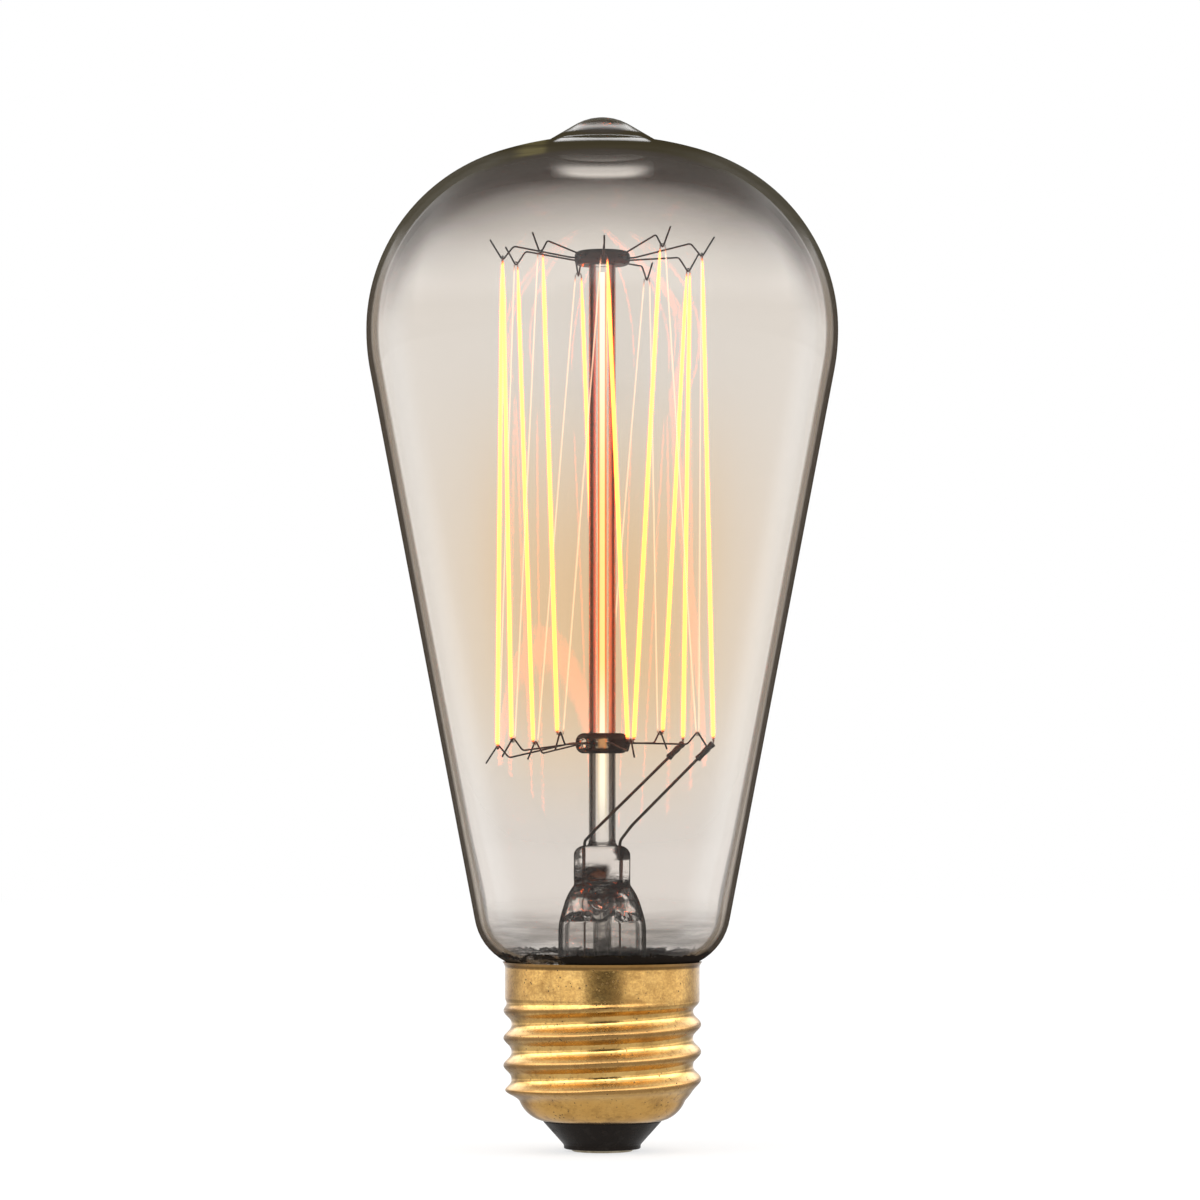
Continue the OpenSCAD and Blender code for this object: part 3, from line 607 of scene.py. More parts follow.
def low_bead_glass():
    """The low bead: painted shade makes it black round its edges, with a painted white glint on the
    left and light from the rod showing brown through its middle."""
    f = material("low_bead_glass")
    x, y, z = f.axes("XYZ")
    wobble = (f.noise(900, 3) - 0.5) * 0.6
    tall = f.window(z + wobble, LOW_HUB - 0.75, LOW_HUB - 0.5, LOW_HUB + 0.45, LOW_HUB + 0.7)
    left = f.window(x + wobble, -3.1, -2.8, -1.6, -1.3)
    middle = f.window(x, -1.1, -0.7, 0.7, 1.1)
    shade = (0.95 - tall * (left * 0.9 + middle * 0.72)) * f.fall(y, 0, 0.3)
    return shaded_glass(f, shade, (0.026, 0.021, 0.019), (0.96, 0.95, 0.93))


def dull_wire(name, dark, light, metallic, rough):
    """Wire whose colour wanders between two tones along its length, with a drawn grain."""
    f = material(name)
    patch = f.noise((900, 900, 500), 5)
    return f.finish(f.node("BsdfPrincipled", {
        "Base Color": f.blend(patch, dark, light),
        "Metallic": metallic,
        "Roughness": f.rise(patch, 0.2, 0.8) * 0.2 + rough,
        "Normal": f.bump(f.noise((6300, 6300, 3500), 2), 0.02, 0.4)}))


def filament_wire():
    """Tungsten that glows where the coil is hot, from dull red beside a hook to pale yellow on
    the wide spans and to white on the thin ones."""
    f = material("filament_wire")
    glow = f.node("Attribute", output="Color", attribute_name="coil_glow")
    heat, thin = (f.node("SeparateColor", {"Color": glow}, output=part) for part in (0, 1))
    cold, dull = (0, 0), (0.2, (0.02, 0.003, 0.0005))
    yellow = f.ramp(heat, cold, dull, (0.5, (0.2, 0.04, 0.01)), (1, (1, 0.13, 0.021)))
    white = f.ramp(heat, cold, dull, (0.5, (0.08, 0.03, 0.015)), (1, (0.13, 0.082, 0.06)))
    shade = f.noise(600)
    return f.finish(f.node("BsdfPrincipled", {
        "Base Color": f.blend(shade, (0.07, 0.06, 0.055), (0.14, 0.12, 0.11)),
        "Metallic": 0.7, "Roughness": 0.5,
        "Emission Color": f.blend(thin, yellow, white), "Emission Strength": 16}))


def crumbly_cement():
    """Dark crumbs of basing cement with a few pale specks."""
    f = material("cement")
    lump = f.noise(900, 8, 0.7)
    speck = f.rise(f.noise(4200, 3), 0.62, 0.7)
    tone = f.ramp(lump, (0.3, (0.008, 0.007, 0.006)), (0.55, (0.028, 0.024, 0.02)),
                  (0.75, (0.075, 0.066, 0.055)))
    return f.finish(f.node("BsdfPrincipled", {
        "Base Color": f.blend(speck, tone, (0.22, 0.2, 0.17)),
        "Roughness": 0.9, "Normal": f.bump(lump, 0.4)}))


def shell_brass():
    """Rolled brass: a warm mottled patina, crests browned with painted shade, dull flanks, an
    amber bowl, a dark line under the rim and dark pin-holes."""
    f = material("shell_brass")
    x, y, z = f.axes("XYZ")
    cloud = f.noise(260, 6, 0.6)
    stain = f.noise((150, 150, 330), 7, 0.66)
    fine = f.noise(2600, 3)
    blotch = f.rise(f.noise(130, 3), 0.4, 0.62)
    worn = f.rise(f.noise((520, 520, 832), 6, 0.7), 0.46, 0.62)
    grain = (f.rise(f.noise(1700, 7, 0.7), 0.48, 0.66)
             * f.rise(f.noise(330, 4), 0.4, 0.6))
    pits = f.node("TexVoronoi", {"Vector": f.place(), "Scale": 1500})
    holes = f.fall(pits, 0.1, 0.24) * f.rise(f.noise(420, 3), 0.43, 0.6)
    out = (x * x + y * y) ** 0.5
    # Painted shade along the crests
    crest = f.rise(out + (fine - 0.5) * 0.3, 12.85, 13.08)
    flank = f.rise(out, 12.25, 12.65) * f.fall(z, 17, 18.5)
    skirt = f.rise(z, 17, 18.2)
    bowl = f.fall(z, 6.6, 9.2)
    seam = f.window(z, CAP_H - 0.85, CAP_H - 0.6, CAP_H - 0.42, CAP_H - 0.25)
    tone = f.ramp(cloud, (0.25, (0.6, 0.34, 0.105)), (0.5, (0.79, 0.485, 0.155)),
                  (0.75, (0.88, 0.585, 0.215)))
    for share, colour in (
            (blotch * skirt * 0.42, (0.44, 0.25, 0.075)),
            (flank * 0.55, (0.5, 0.315, 0.125)),
            (crest * 0.75, (0.33, 0.175, 0.06)),
            (bowl * 0.6, (0.66, 0.35, 0.09)),
            (worn * (bowl + skirt) * 0.3, (0.3, 0.165, 0.05)),
            (f.rise(stain, 0.5, 0.7) * 0.65, (0.3, 0.155, 0.045)),
            (grain * 0.5, (0.26, 0.13, 0.04)),
            (seam * 0.7, (0.16, 0.085, 0.03)),
            (holes * 0.85, (0.035, 0.02, 0.008))):
        tone = f.blend(share, tone, colour)
    rough = f.rise(stain, 0.35, 0.75) * 0.13 + flank * 0.16 + skirt * 0.08 + holes * 0.4
    return f.finish(f.node("BsdfPrincipled", {
        "Base Color": tone,
        "Metallic": 1 - holes * 0.5,
        "Roughness": rough + 0.06,
        "Normal": f.bump(fine * 0.25 + (1 - holes) * 0.15 + cloud * 1.1, 0.06, 0.7)}))


def insulator_glass():
    """Black moulded glass with a little dust on it."""
    f = material("insulator_glass")
    dust = f.rise(f.noise(700, 6), 0.5, 0.8)
    return f.finish(f.node("BsdfPrincipled", {
        "Base Color": f.blend(dust * 0.5, (0.0125, 0.0092, 0.0072), (0.034, 0.028, 0.024)),
        "Roughness": 0.22 + dust * 0.35, "Specular IOR Level": 0.09,
        "Normal": f.bump(f.noise(500, 3), 0.08, 0.5)}))


def soft_metal(name, low, high, rough):
    """Tinned or soldered metal with dull blotches and a few fine dents."""
    f = material(name)
    blotch = f.noise(700, 6, 0.62)
    return f.finish(f.node("BsdfPrincipled", {
        "Base Color": f.blend(f.rise(blotch, 0.3, 0.7), low, high),
        "Metallic": 0.95, "Roughness": f.rise(blotch, 0.3, 0.75) * 0.25 + rough,
        "Normal": f.bump(f.noise(1800, 4), 0.04, 0.6)}))


# Glass bulb

BELLY_R, BELLY_Z, WIDEST_R = 28.7, 109.4, 31.55
SHOULDER_R, CROWN_R, FOOT_R, FOOT_TURN, NECK_FILLET = 24.7, 46.5, 7.7, 63.0, 3.6
TIP_H, TIP_R, TIP_SLOPE, TIP_FILLET, RIM_IN_R = 2.8, 7.2, 31.0, 1.6, 12.8
BULB_STEP, BULB_AROUND = 0.9, 192
WALL_Z = [17, 21, 25, 28, 33, 40, 60, 120, 132]
WALL_T = [0.8, 0.8, 0.8, 1.0, 1.2, 1.0, 0.8, 0.8, 0.9]

# Centres and angles that follow from arcs touching each other
foot_x = NECK_R + NECK_FILLET - (NECK_FILLET + FOOT_R) * np.cos(np.radians(FOOT_TURN))
foot_z = CAP_H + FOOT_R * np.sin(np.arccos((RIM_IN_R - foot_x) / FOOT_R))
neck_z = foot_z - (FOOT_R + NECK_FILLET) * np.sin(np.radians(FOOT_TURN))
belly_x, shoulder_x = WIDEST_R - BELLY_R, WIDEST_R - SHOULDER_R
crown_drop = np.sqrt((CROWN_R - SHOULDER_R) ** 2 - shoulder_x ** 2)
crown_z = BELLY_Z - crown_drop
crown_turn = np.degrees(np.arctan2(crown_drop, shoulder_x))
taper = np.degrees(
    np.arccos((FOOT_R - BELLY_R) / np.hypot(belly_x - foot_x, BELLY_Z - foot_z))
    - np.arctan2(BELLY_Z - foot_z, belly_x - foot_x))
tip_z = crown_z + CROWN_R + TIP_H - TIP_R


def tip_outline():
    """The drop-shaped tip: a round top, a straight flank, and a hollow curve that touches the
    flank and the crown, which follows from it."""
    slope = np.radians(TIP_SLOPE)
    off = TIP_R + TIP_FILLET + (tip_z - crown_z) * np.cos(slope)
    along = np.sqrt((CROWN_R + TIP_FILLET) ** 2 - off ** 2)
    x = off * np.sin(slope) - along * np.cos(slope)
    z = crown_z + off * np.cos(slope) + along * np.sin(slope)
    crown_side = np.degrees(np.arctan2(z - crown_z, x))
    return np.vstack([
        arc(0, tip_z, TIP_R, 89.8, 90 - TIP_SLOPE),
        arc(x, z, TIP_FILLET, 270 - TIP_SLOPE, 180 + crown_side, 4.0),
        arc(0, crown_z, CROWN_R, crown_side, crown_turn, 1.0)])


def body_outline():
    """Shoulder, belly, cone, foot and neck, from the crown down."""
    return np.vstack([
        arc(shoulder_x, BELLY_Z, SHOULDER_R, crown_turn, 0),
        arc(belly_x, BELLY_Z, BELLY_R, 0, -taper),
        arc(foot_x, foot_z, FOOT_R, -taper, -FOOT_TURN),
        arc(NECK_R + NECK_FILLET, neck_z, NECK_FILLET, 180 - FOOT_TURN, 180, 5.0),
        [[NECK_R, NECK_END]]])


def blown_bulb():
    """The glass wall: its outline turned about the axis, and inside it the same outline moved
    in along its normals by a wall that is thicker round the foot.

    The attribute inner_wall is 0 on the points outside and 1 on those inside.
    """
    crown = arc(0, crown_z, CROWN_R, 89.9, crown_turn, 1.0)
    outside = evened(np.vstack([tip_outline(), body_outline()]), BULB_STEP)
    bare = evened(np.vstack([crown, body_outline()]), BULB_STEP)
    along = unit(np.gradient(bare, axis=0))
    inward = np.stack([along[:, 1], -along[:, 0]], -1)
    inward *= np.where(inward[:, :1] > 0, -1.0, 1.0)
    inside = bare + inward * np.interp(bare[:, 1], WALL_Z, WALL_T)[:, None]
    inside[:, 0] = np.maximum(inside[:, 0], 0.03)
    mesh = turned("blown_bulb", np.vstack([outside, inside[::-1]]), BULB_AROUND)
    inner = np.repeat([0.0, 1.0], [len(outside) * BULB_AROUND, len(inside) * BULB_AROUND])
    mark_points(mesh, "inner_wall", np.repeat(np.r_[inner, 0.0, 1.0], 4))
    make_piece(mesh, bulb_glass(), "glass_bulb", sharp=60.0)


# Glass mount

FLARE_X, FLARE_Z, FLARE_R, FLARE_END = 10.1, 21.25, 4.25, 10.85
TUBE_R, TUBE_WALL = 5.85, 0.8
BELL_X, BELL_Z, BELL_R = -3.65, 29.2, 9.5
PRESS_A, PRESS_B, PRESS_SQUARE, PRESS_EDGE = 3.75, 1.9, 3.6, 1.5
HOLLOW = np.array([[0.05, CEILING], [0.9, 33.58], [1.7, 33.45], [2.4, 33.2], [2.9, 32.85],
                   [3.25, 32.4]])


def squircle(a, b, n, z, turn):
    """A ring whose half widths are a and b, round at n = 2 and squarer above."""
    c, s = np.cos(turn), np.sin(turn)
    x = a * np.sign(c) * np.abs(c) ** (2 / n)
    y = b * np.sign(s) * np.abs(s) ** (2 / n)
    return np.stack([x, y, z + 0 * x], -1)


def upright(r, low, high, count):
    """Even points on a straight line beside the axis."""
    return np.stack([np.full(count, r), np.linspace(low, high, count)], -1)


def stem_outside(turn):
    """Flare, tube, bell and press: round rings that turn into rounded oblongs as the bell is
    pinched, slightly lumpy, with a rounded edge round the flat top."""
    low = np.vstack([
        [[FLARE_END, NECK_END]], arc(FLARE_X, FLARE_Z, FLARE_R, 270, 180, 5.0),
        upright(TUBE_R, 21.6, 28.9, 10)])
    bell_z = np.linspace(BELL_Z, 36.0, 24)
    bell_r = BELL_X + np.sqrt(np.maximum(BELL_R ** 2 - (bell_z - BELL_Z) ** 2, 0))
    width = np.where(bell_z > 33.5, np.maximum(bell_r, PRESS_A), bell_r)
    pinch = fade((bell_z - 33.0) / 3.4)
    rise = np.radians(np.linspace(0, 90, 9))
    top_a = PRESS_A - PRESS_EDGE + PRESS_EDGE * np.cos(rise)
    top_b = PRESS_B - 1.15 + 1.15 * np.cos(rise)
    top_z = PRESS_TOP - PRESS_EDGE + PRESS_EDGE * np.sin(rise)
    a = np.r_[low[:, 0], width, [PRESS_A] * 3, top_a]
    b = np.r_[low[:, 0], bell_r + (PRESS_B - bell_r) * pinch, [PRESS_B] * 3, top_b]
    z = np.r_[low[:, 1], bell_z, [36.9, 37.6, 38.4], top_z]
    n = np.r_[np.full(len(low), 2.0), 2.0 + 1.6 * pinch, [PRESS_SQUARE] * 3, np.full(9, 3.4)]
    rings = squircle(a[:, None], b[:, None], n[:, None], z[:, None], turn)
    lumps = ripple(3 * np.cos(turn), z[:, None] * 0.7, 5, 16, 0.8, 2.4)
    swell = 1 + 0.022 * lumps * fade((z - 31.0) / 4.0)[:, None]
    rings[..., :2] *= swell[..., None]
    return rings


def stem_inside(turn):
    """The hollow under the press with its folded roof, the bell's throat, the bore and the
    inner side of the flare."""
    throat_z = np.linspace(31.9, BELL_Z, 8)
    throat_r = BELL_X + np.sqrt((BELL_R - TUBE_WALL) ** 2 - (throat_z - BELL_Z) ** 2)
    outline = np.vstack([
        HOLLOW, np.stack([throat_r, throat_z], -1), upright(TUBE_R - TUBE_WALL, 28.6, 21.6, 8),
        arc(FLARE_X, FLARE_Z, FLARE_R + TUBE_WALL, 180, 270, 5.0),
        [[FLARE_END, NECK_END - TUBE_WALL]]])
    rings = squircle(outline[:, :1], outline[:, :1], 2.0, outline[:, 1:], turn)
    roof = fade((outline[:, 1] - 30.5) / 1.8)[:, None]
    folds = ripple(1.3 * rings[..., 0], 1.3 * rings[..., 1], 31, 14, 0.6, 1.6)
    rings[..., 2] += roof * (0.75 * folds - 0.7)
    return rings


def pinched_stem():
    """The stem in one skin: rings that start in the hollow under the press, run down inside,
    turn at the flare's edge and climb outside to the flat top of the press."""
    turn = full_turn(128)[None, :]
    mesh = make_mesh("pinched_stem", np.vstack([stem_inside(turn), stem_outside(turn)]))
    make_piece(mesh, mount_glass(), "stem")


def small_glass():
    """The exhaust tube with its fire-rounded end, the rod with a glowing core of painted light in
    it, and the two beads on the rod."""
    axis = 0.02
    tube = np.vstack([
        [[0.6, 33.55], [1.15, 33.55], [1.2, 33.4]], arc(0.9, 11.5, 0.3, 0, -180, 15.0)])
    make_piece(turned("exhaust_pipe", tube, 64, True), tube_glass(), "exhaust_tube")
    rod = np.vstack([
        [[axis, PRESS_TOP - 0.02], [2.05, PRESS_TOP - 0.02], [1.86, PRESS_TOP + 0.35]],
        upright(ROD_R, PRESS_TOP + 0.9, ROD_TOP - 0.05, 40), [[axis, ROD_TOP]]])
    make_piece(turned("glass_rod", rod, 96), rod_glass(), "rod")
    core = upright(0.38, PRESS_TOP + 0.8, ROD_TOP - 1.0, 30)
    make_piece(turned("rod_light", core, 32), piped_light(), "rod")
    top = np.vstack([
        [[axis, TOP_HUB - 0.95]], arc(3.05, TOP_HUB - 0.3, 0.65, -90, 0, 10.0),
        arc(3.05, TOP_HUB + 0.3, 0.65, 0, 90, 10.0),
        [[2.0, TOP_HUB + 0.92], [axis, TOP_HUB + 0.95]]])
    make_piece(turned("top_bead", top, 96), bead_glass(), "upper_button")
    low = np.vstack([
        [[1.83, LOW_HUB - 1.35]], arc(2.45, LOW_HUB - 0.25, 1.1, -90, 0, 9.0),
        arc(2.45, LOW_HUB + 0.25, 1.1, 0, 90, 9.0), [[1.83, LOW_HUB + 1.35]]])
    make_piece(turned("low_bead", low, 96, True), low_bead_glass(), "lower_button")


# Hooks

def hook_path(bearing, bead_r, hub, seat_r, seat_z, way, seed):
    """Root, knee, valley and tail in the upright plane of one bearing, with a slight hand bend.

    The way is 1 for a hook whose seat looks up and -1 for one whose seat looks down.
    """
    rng = np.random.default_rng(seed)
    reach = way * (1.0 if way > 0 else 0.8)
    outline = np.array([
        [bead_r - 1.28, hub], [bead_r + 0.6, hub + 0.02],
        [seat_r - 1.5, seat_z + reach + way * 0.8],
        [seat_r, seat_z - way * HOOK_D / 2],
        [seat_r + 1.7, seat_z + reach + way * 1.6]])
    outline[1:3, 1] += rng.normal(0, 0.03, 2)
    path = evened(rounded(outline, 0.42), 0.12)
    return cage_point(bearing, path[:, 0], path[:, 1]).T


def support_hooks():
    """Nine hooks in the top bead and eight in the low one, each a swept wire."""
    wire = dull_wire("hook_wire", (0.016, 0.013, 0.011), (0.05, 0.041, 0.034), 0.75, 0.42)
    top = [(f"upper_hook_{k + 1}", TOP_BEARING[k], TOP_BEAD_R, TOP_HUB, TOP_SEAT_R, TOP_SEAT_Z[k], 1)
           for k in range(9)]
    low = [(f"lower_hook_{k + 1}", LOW_BEARING[k], LOW_BEAD_R, LOW_HUB, LOW_SEAT_R, LOW_SEAT_Z[k], -1)
           for k in range(8)]
    for count, (node, bearing, *sizes) in enumerate(top + low):
        path = hook_path(bearing, *sizes, 40 + count)
        beside = cage_point(bearing + 90, 1.0, 0.0)
        mesh = swept(node + "_wire", path, HOOK_D / 2, 12, beside, 0.03, count)
        make_piece(mesh, wire, node)


# Filament and leads

left_end = cage_point(335.0, 12.0, LOW_HUB)
right_end = cage_point(5.0, 14.8, LOW_HUB)
left_turn = np.array([-LEAD_X / 2, -(ROD_R + 1.3), PRESS_TOP + 1.9])
right_turn = np.array([LEAD_X + 1.6, -0.3, PRESS_TOP + 2.7])
left_way = unit(left_end - left_turn)
right_way = unit(right_end - right_turn)

# Which spans are drawn out thin, counted from the right lead
THIN_SPANS = [1, 2, 5, 7, 10, 12, 14, 15]
COIL_R, COIL_PITCH, COIL_WIRE_R = 0.27, 0.225, 0.078
THIN_R, THIN_PITCH, THIN_WIRE_R = 0.085, 0.34, 0.05
NEST_POINTS = 25
COIL_STEP = 0.02
SMOOTHING = 41
POINTS_PER_TURN = 7
IN_SLEEVE = 0.7


def nest(bearing, seat_r, seat_z, way):
    """The coil's half turn over one hook."""
    turn = np.radians(np.linspace(0, 180, NEST_POINTS))[:, None]
    seat = cage_point(bearing, seat_r, seat_z)
    beside = cage_point(bearing + 90, 1.0, 0.0)
    return seat + NEST_R * (way * np.sin(turn) * np.array([0, 0, 1.0]) - np.cos(turn) * beside)


def strung_path():
    """The axis of the coil from the right sleeve over all the hooks to the left one, and the
    distances along it at the middle of each hook and at the two lead ends."""
    bits = [np.stack([right_end - right_way * IN_SLEEVE, right_end + right_way * 0.05])]
    for k in range(9):
        bits.append(nest(TOP_BEARING[k], TOP_SEAT_R, TOP_SEAT_Z[k], 1))
        if k < 8:
            bits.append(nest(LOW_BEARING[k], LOW_SEAT_R, LOW_SEAT_Z[k], -1))
    bits.append(np.stack([left_end + left_way * 0.05, left_end - left_way * IN_SLEEVE]))
    path = np.vstack(bits)
    run = distances(path)
    firsts = np.cumsum([len(b) for b in bits])
    return path, run, np.r_[run[1], run[firsts[:-2] + NEST_POINTS // 2], run[firsts[-2]]]


def smoothed(values):
    """Each value becomes the mean of its neighbours."""
    spread = np.pad(values, SMOOTHING // 2, mode="edge")
    return np.convolve(spread, np.ones(SMOOTHING) / SMOOTHING, "valid")


def strung_coil():
    """One wire wound in a helix along the whole strung path.

    The axis of the coil runs up and down over the hooks. The helix turns once a pitch about
    it, a small triangle is carried along the helix, and the colour attribute coil_glow holds
    the glow, which dies away beside each hook, and the kind of span.
    """
    path, run, middles = strung_path()
    s = np.arange(0, run[-1], COIL_STEP)
    spans = np.clip(np.searchsorted(middles, s) - 1, 0, len(middles) - 2)
    start, stop = middles[spans], middles[spans + 1]
    # Even spans climb and odd ones descend, so the distance below the top hook differs
    climbs = spans % 2 == 0
    from_top = np.where(climbs, stop - s, s - start)
    from_low = np.where(climbs, s - start, stop - s)
    thin = np.isin(spans, THIN_SPANS)
    swell = 0.22 + 0.63 * fade(from_top / 6.5) + 0.15 * fade(from_top / 60.0)
    swell = np.minimum(swell, 0.35 + 0.65 * fade(from_low / 1.3))
    helix_r = smoothed(np.where(thin, THIN_R, COIL_R * swell))
    pitch = smoothed(np.where(thin, THIN_PITCH, COIL_PITCH))
    phase = np.cumsum(2 * np.pi / pitch) * COIL_STEP
    steps = np.arange(phase[0], phase[-1], 2 * np.pi / POINTS_PER_TURN)
    at = np.interp(steps, phase, s)
    core = points_at(at, run, path)
    along = unit(np.stack([np.gradient(core[:, k], at) for k in range(3)], -1))
    outward = squared(unit(core * [1, 1, 0]), along)
    spoke = np.cos(steps)[:, None] * outward + np.sin(steps)[:, None] * np.cross(along, outward)
    helix = core + np.interp(at, s, helix_r)[:, None] * spoke
    wire_r = np.interp(at, s, np.where(thin, THIN_WIRE_R, COIL_WIRE_R))
    tangent = unit(np.gradient(helix, axis=0))
    side = unit(np.cross(tangent, spoke))
    corners = np.radians([90.0, 210.0, 330.0])
    mesh = make_mesh("strung_coil", carried(helix, wire_r, corners, side, np.cross(side, tangent)))
    glow = fade(np.interp(at, s, np.minimum((from_top - 0.5) / 1.3, (from_low - 0.45) / 0.7)))
    kind = np.interp(at, s, thin.astype(float))
    marks = np.stack([glow, kind, 0 * glow, 1 + 0 * glow], -1)
    mark_points(mesh, "coil_glow", np.vstack([np.repeat(marks, 3, axis=0), marks[:1], marks[-1:]]))
    make_piece(mesh, filament_wire(), "filament", sharp=0)


SLEEVE_L, SLEEVE_R = 3.0, 0.425


def crimp(way, end):
    """The sleeve's axis and its radius along it: two dents pressed in, and turned-in ends."""
    run = np.linspace(0, 1, 40)
    dents = 0.05 * np.exp(-((run - 0.35) / 0.1) ** 2) + 0.04 * np.exp(-((run - 0.75) / 0.08) ** 2)
    ends = np.where((run < 0.02) | (run > 0.98), 0.9, 1.0)
    return end - way * SLEEVE_L + run[:, None] * way * SLEEVE_L, (SLEEVE_R - dents) * ends


def leads():
    """On each side a bent lead, its crimp sleeve and its seal wire, and the two outer leads."""
    lead_wire = dull_wire("lead_wire", (0.022, 0.018, 0.015), (0.085, 0.066, 0.052), 0.8, 0.40)
    sleeve = dull_wire("sleeve_metal", (0.012, 0.011, 0.010), (0.05, 0.043, 0.037), 0.7, 0.45)
    seal = dull_wire("seal_wire", (0.05, 0.018, 0.010), (0.22, 0.075, 0.032), 0.7, 0.35)
    outer = dull_wire("outer_lead_wire", (0.05, 0.03, 0.022), (0.22, 0.12, 0.08), 0.9, 0.36)
    across, back = np.array([1.0, 0, 0]), np.array([0, 1.0, 0])
    for side, x, bend, end, way in (
            ("left", -LEAD_X, left_turn, left_end, left_way),
            ("right", LEAD_X, right_turn, right_end, right_way)):
        path = evened(rounded([[x, 0, 39.82], [x, 0, 41.1], bend, end - way * 0.8], 0.55), 0.2)
        mesh = swept(f"{side}_lead_wire", path, LEAD_D / 2, 20, across, 0.03, 3)
        make_piece(mesh, lead_wire, f"{side}_lead")
        mesh = swept(f"{side}_crimp", *crimp(way, end), 28, back, 0.04, 8)
        make_piece(mesh, sleeve, f"{side}_sleeve")
        pin = np.linspace([x, 0, 34.4], [x, 0, 39.8], 24)
        mesh = swept(f"{side}_seal", pin, LEAD_D / 2, 20, across, 0.08, 11)
        make_piece(mesh, seal, f"{side}_seal_wire")
    for node in ("rim_lead", "contact_lead"):
        dress_node(node, outer)


# Cap

def thread_radius(z, turn):
    """A rounded crest that climbs one pitch a turn, faded into the bowl and the skirt."""
    phase = 2 * np.pi * (z - CREST_H) / PITCH - (turn - np.pi)
    rolled = ROOT_R + (CREST_R - ROOT_R) * ((1 + np.cos(phase)) / 2) ** CREST_SHAPE
    bowl = BOWL_X + np.sqrt(BOWL_R ** 2 - np.clip(BOWL_Z - z, 0, BOWL_R) ** 2)
    low = rolled + (bowl - rolled) * fade((THREAD_LOW - z) / RUNOUT)
    high = low + (SKIRT_R - low) * fade((z - THREAD_HIGH) / RUNOUT)
    return high + FLARE_OUT * np.clip((z - CAP_H + FLARE_H) / FLARE_H, 0, 1) ** 2


def rolled_shell():
    """The brass sheet: threaded side, then the bowl's arc, down outside and back up inside."""
    turn = full_turn(288)[None, :]
    foot = THREAD_LOW - RUNOUT
    start = np.arcsin((BOWL_Z - foot) / BOWL_R)
    end = np.arccos((MOUTH_R - BOWL_X) / BOWL_R)

    def face(depth, side_rows, bowl_rows):
        """The sheet's face at one depth: rows down its side, then rows along the bowl."""
        z = np.linspace(CAP_H, foot, side_rows)[:, None]
        a = np.linspace(start, end, bowl_rows)[1:, None]
        bowl_r = BOWL_R - depth
        return np.vstack([
            ring_points(thread_radius(z, turn) - depth, z, turn),
            ring_points(BOWL_X + bowl_r * np.cos(a), BOWL_Z - bowl_r * np.sin(a), turn)])

    rings = np.vstack([face(0.0, 158, 18), face(SHEET, 76, 10)[::-1]])
    mesh = make_mesh("rolled_shell", rings, close_rows=True)
    make_piece(mesh, shell_brass(), "screw_shell", sharp=50.0)


def packed_cement():
    """The ring of cement between neck and shell, roughened with ripples and ragged on top."""
    turn = full_turn(300)[None, :]
    x, y = 9 * np.cos(turn), 9 * np.sin(turn)
    z = np.array([17.3, 18.5, 19.8, 21.0, 22.0, 22.6, 22.9])[:, None]
    climb = np.clip(z - neck_z, 0, 3)
    inner = NECK_R + 0.06 + NECK_FILLET - np.sqrt(NECK_FILLET ** 2 - climb ** 2)
    outer = np.where(z > 20.6, 12.45, 11.6)
    ragged = 0.5 * ripple(x, y, 21, 40, 1.0, 5.0) + 0.35 * ripple(x, y, 22, 40, 6.0, 14.0)
    top = 0.9 * np.clip(ragged + 0.5, 0, 1.6)
    height = z + np.where(z > 22.5, top * (z - 22.4) / 0.5, 0)
    shift = np.abs(0.04 * ripple(40 * turn, 6 * z, 23, 30, 0.5, 2.0))
    rings = np.vstack([
        ring_points(inner + shift * 0.3, height, turn),
        ring_points(outer - shift, height, turn)[::-1]])
    mesh = make_mesh("packed_cement", rings, close_rows=True)
    make_piece(mesh, crumbly_cement(), "cement", sharp=40.0)


def cap_bottom():
    """The black glass insulator and, with their CAD shapes, the contact and the solder."""
    bore, low, high = 1.4, 0.35, 6.85
    hold_r = BOWL_R - SHEET - SEAT_GAP
    throat = MOUTH_R - SEAT_GAP
    mouth_turn = np.degrees(np.arccos((throat - BOWL_X) / hold_r))
    top_turn = np.degrees(np.arcsin((BOWL_Z - high) / hold_r))
    outline = np.vstack([
        [[bore, low]], arc(4.93, low + 0.17, 0.17, -90, 0, 15.0),
        arc(5.7, 0.65, 0.6, 180, 132, 6.0), evened([[5.3, 1.1], [throat, 3.93]], 0.4),
        arc(BOWL_X, BOWL_Z, hold_r, -mouth_turn, -top_turn, 5.0), [[bore, high]]])
    mesh = turned("moulded_insulator", outline, 144, True)
    make_piece(mesh, insulator_glass(), "insulator")
    dress_node("contact", soft_metal("contact_metal", (0.26, 0.21, 0.13), (0.5, 0.43, 0.31), 0.3))
    solder = soft_metal("solder", (0.42, 0.42, 0.41), (0.66, 0.66, 0.64), 0.28)
    for node in ("contact_solder", "rim_solder"):
        dress_node(node, solder)


# Studio

def round_about(f, way, clear):
    """How light the room is in one direction round about, as seen in what gleams: dark behind
    the camera where it isn't clear, a softbox on either side, dim ends and a lighter back."""
    flat = f.vector("NORMALIZE", f.vector("MULTIPLY", way, (1.0, 1.0, 0.0)))
    front = f.vector("DOT_PRODUCT", flat, (0.04, -0.999, 0.0), output="Value") * 0.5 + 0.5
    sides = f.ramp(front, (0.0, 0.7), (0.2, 0.45), (0.36, 1.0), (1.0, 1.0))
    hidden = f.ramp(front, (0.945, 0.0), (0.984, 0.8), (1.0, 0.93))
    return sides * (1.0 - hidden * (1.0 - clear))


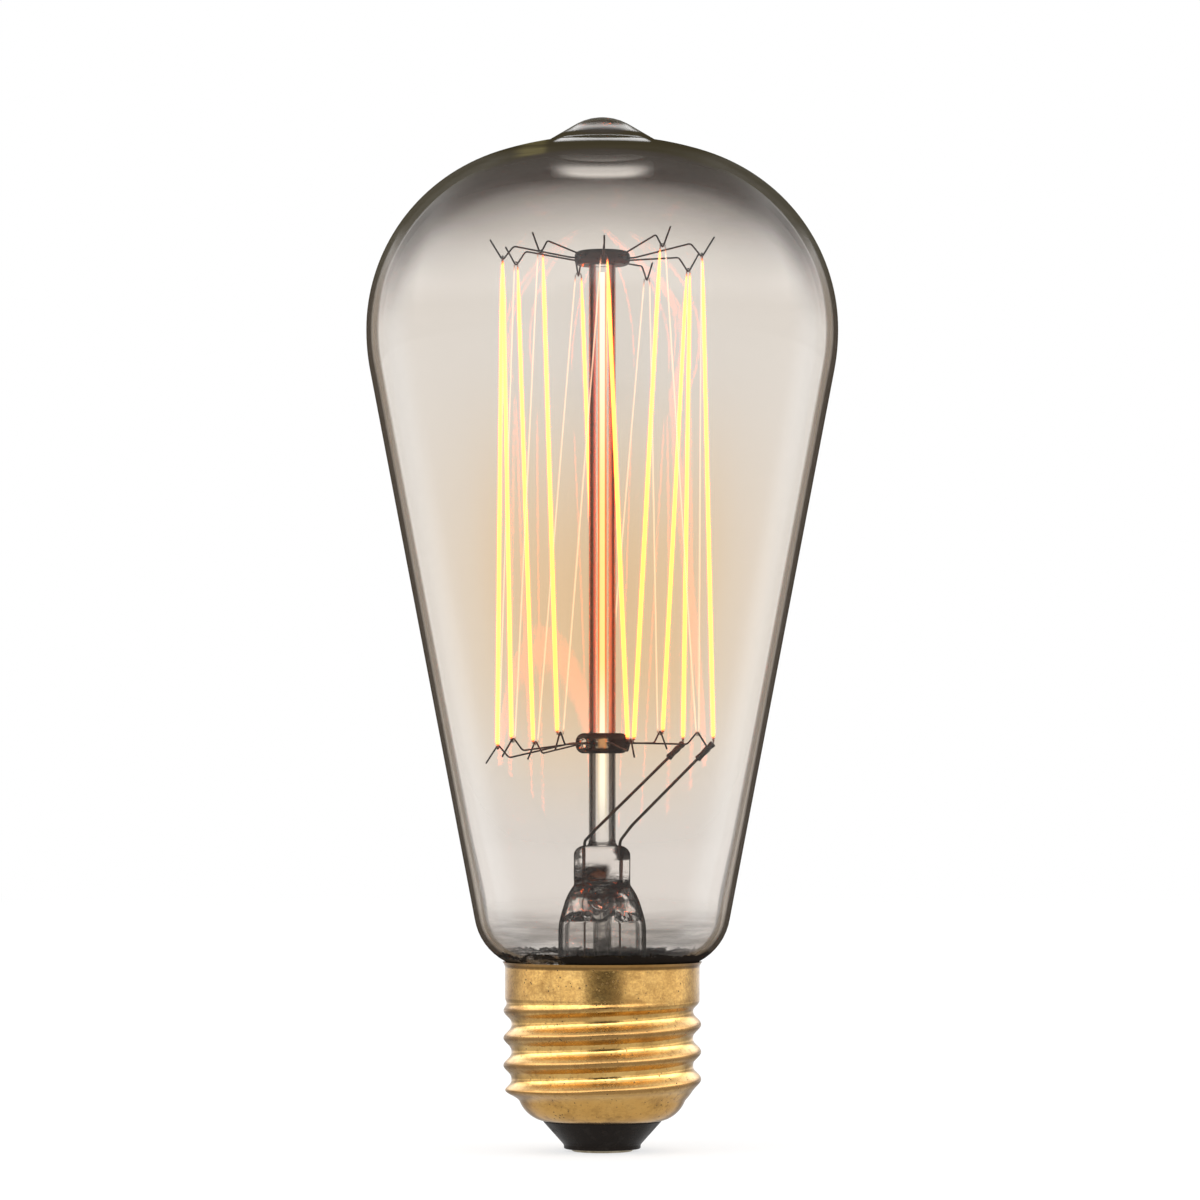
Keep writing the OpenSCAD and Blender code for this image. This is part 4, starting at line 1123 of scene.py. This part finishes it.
def studio():
    """White to the eye and in glass. What gleams sees softboxes on both sides, dimmer ends and
    a dark room behind the camera."""
    world = bpy.data.worlds.new("studio")
    bpy.context.scene.world = world
    f = Finish(world)
    camera, glossy, through, mirrored = f.rays()
    way = f.node("TexCoord", output="Generated")
    level = f.node("SeparateXYZ", {0: way}, output="Z")
    height = f.ramp(level * 0.5 + 0.5, (0.5, 0.32), (0.58, 0.34), (0.62, 0.75), (0.66, 1.2),
                    (0.78, 1.15), (0.86, 0.5), (1.0, 0.2))
    room = round_about(f, way, f.rise(level, 0.28, 0.42)) * height * 3.2
    plain = f.node("Background", {"Color": 1.0})
    seen = f.node("Background", {"Color": 1 + mirrored * (room - 1)})
    f.node("OutputWorld", {"Surface": f.mix(camera + glossy + through, plain, seen)})


def floor():
    """A pale floor that stays white away from the lamp's own soft shadow."""
    half = 3.0
    corners = [(-half, -half, 0), (half, -half, 0), (half, half, 0), (-half, half, 0)]
    mesh = bpy.data.meshes.new("floor")
    mesh.from_pydata(corners, [], [(0, 1, 2, 3)])
    f = material("floor_paper")
    camera, glossy, through, mirrored = f.rays()
    way = f.place()
    away = f.vector("LENGTH", way, output="Value")
    gleam = round_about(f, way, f.fall(away, 0.09, 0.22)) * (0.66 + f.rise(away, 0.06, 0.3) * 0.85)
    far = f.rise(away, 0.3, 1.6)
    white = 1.06 - far * 0.06
    paper = f.node("BsdfPrincipled", {"Base Color": 0.97, "Roughness": 0.9})
    lit = f.node("Emission", {"Color": white + mirrored * (gleam - white)})
    seen = (camera + glossy + through) & 1
    mesh.materials.append(f.finish(f.mix(seen * (0.6 + far * 0.4) + mirrored * 0.32, paper, lit)))
    add_object("floor", mesh)


def softbox(name, at, power):
    """A soft lamp aimed at the bulb's lower half, which glass and gloss don't show."""
    data = bpy.data.lights.new(name, "AREA")
    data.shape = "RECTANGLE"
    data.size, data.size_y = 0.25, 0.5
    data.energy = power
    light = add_object(name, data)
    light.location = at
    light.visible_glossy = False
    light.visible_transmission = False
    light.rotation_euler = (Vector((0, 0, 0.06)) - Vector(at)).to_track_quat("-Z", "Y").to_euler()


blown_bulb()
pinched_stem()
small_glass()
support_hooks()
strung_coil()
leads()
rolled_shell()
packed_cement()
cap_bottom()
studio()
floor()
softbox("left_softbox", (-0.55, -0.35, 0.28), 1.6)
softbox("right_softbox", (0.6, -0.2, 0.25), 1.1)

bpy.context.scene.view_settings.view_transform = "Standard"
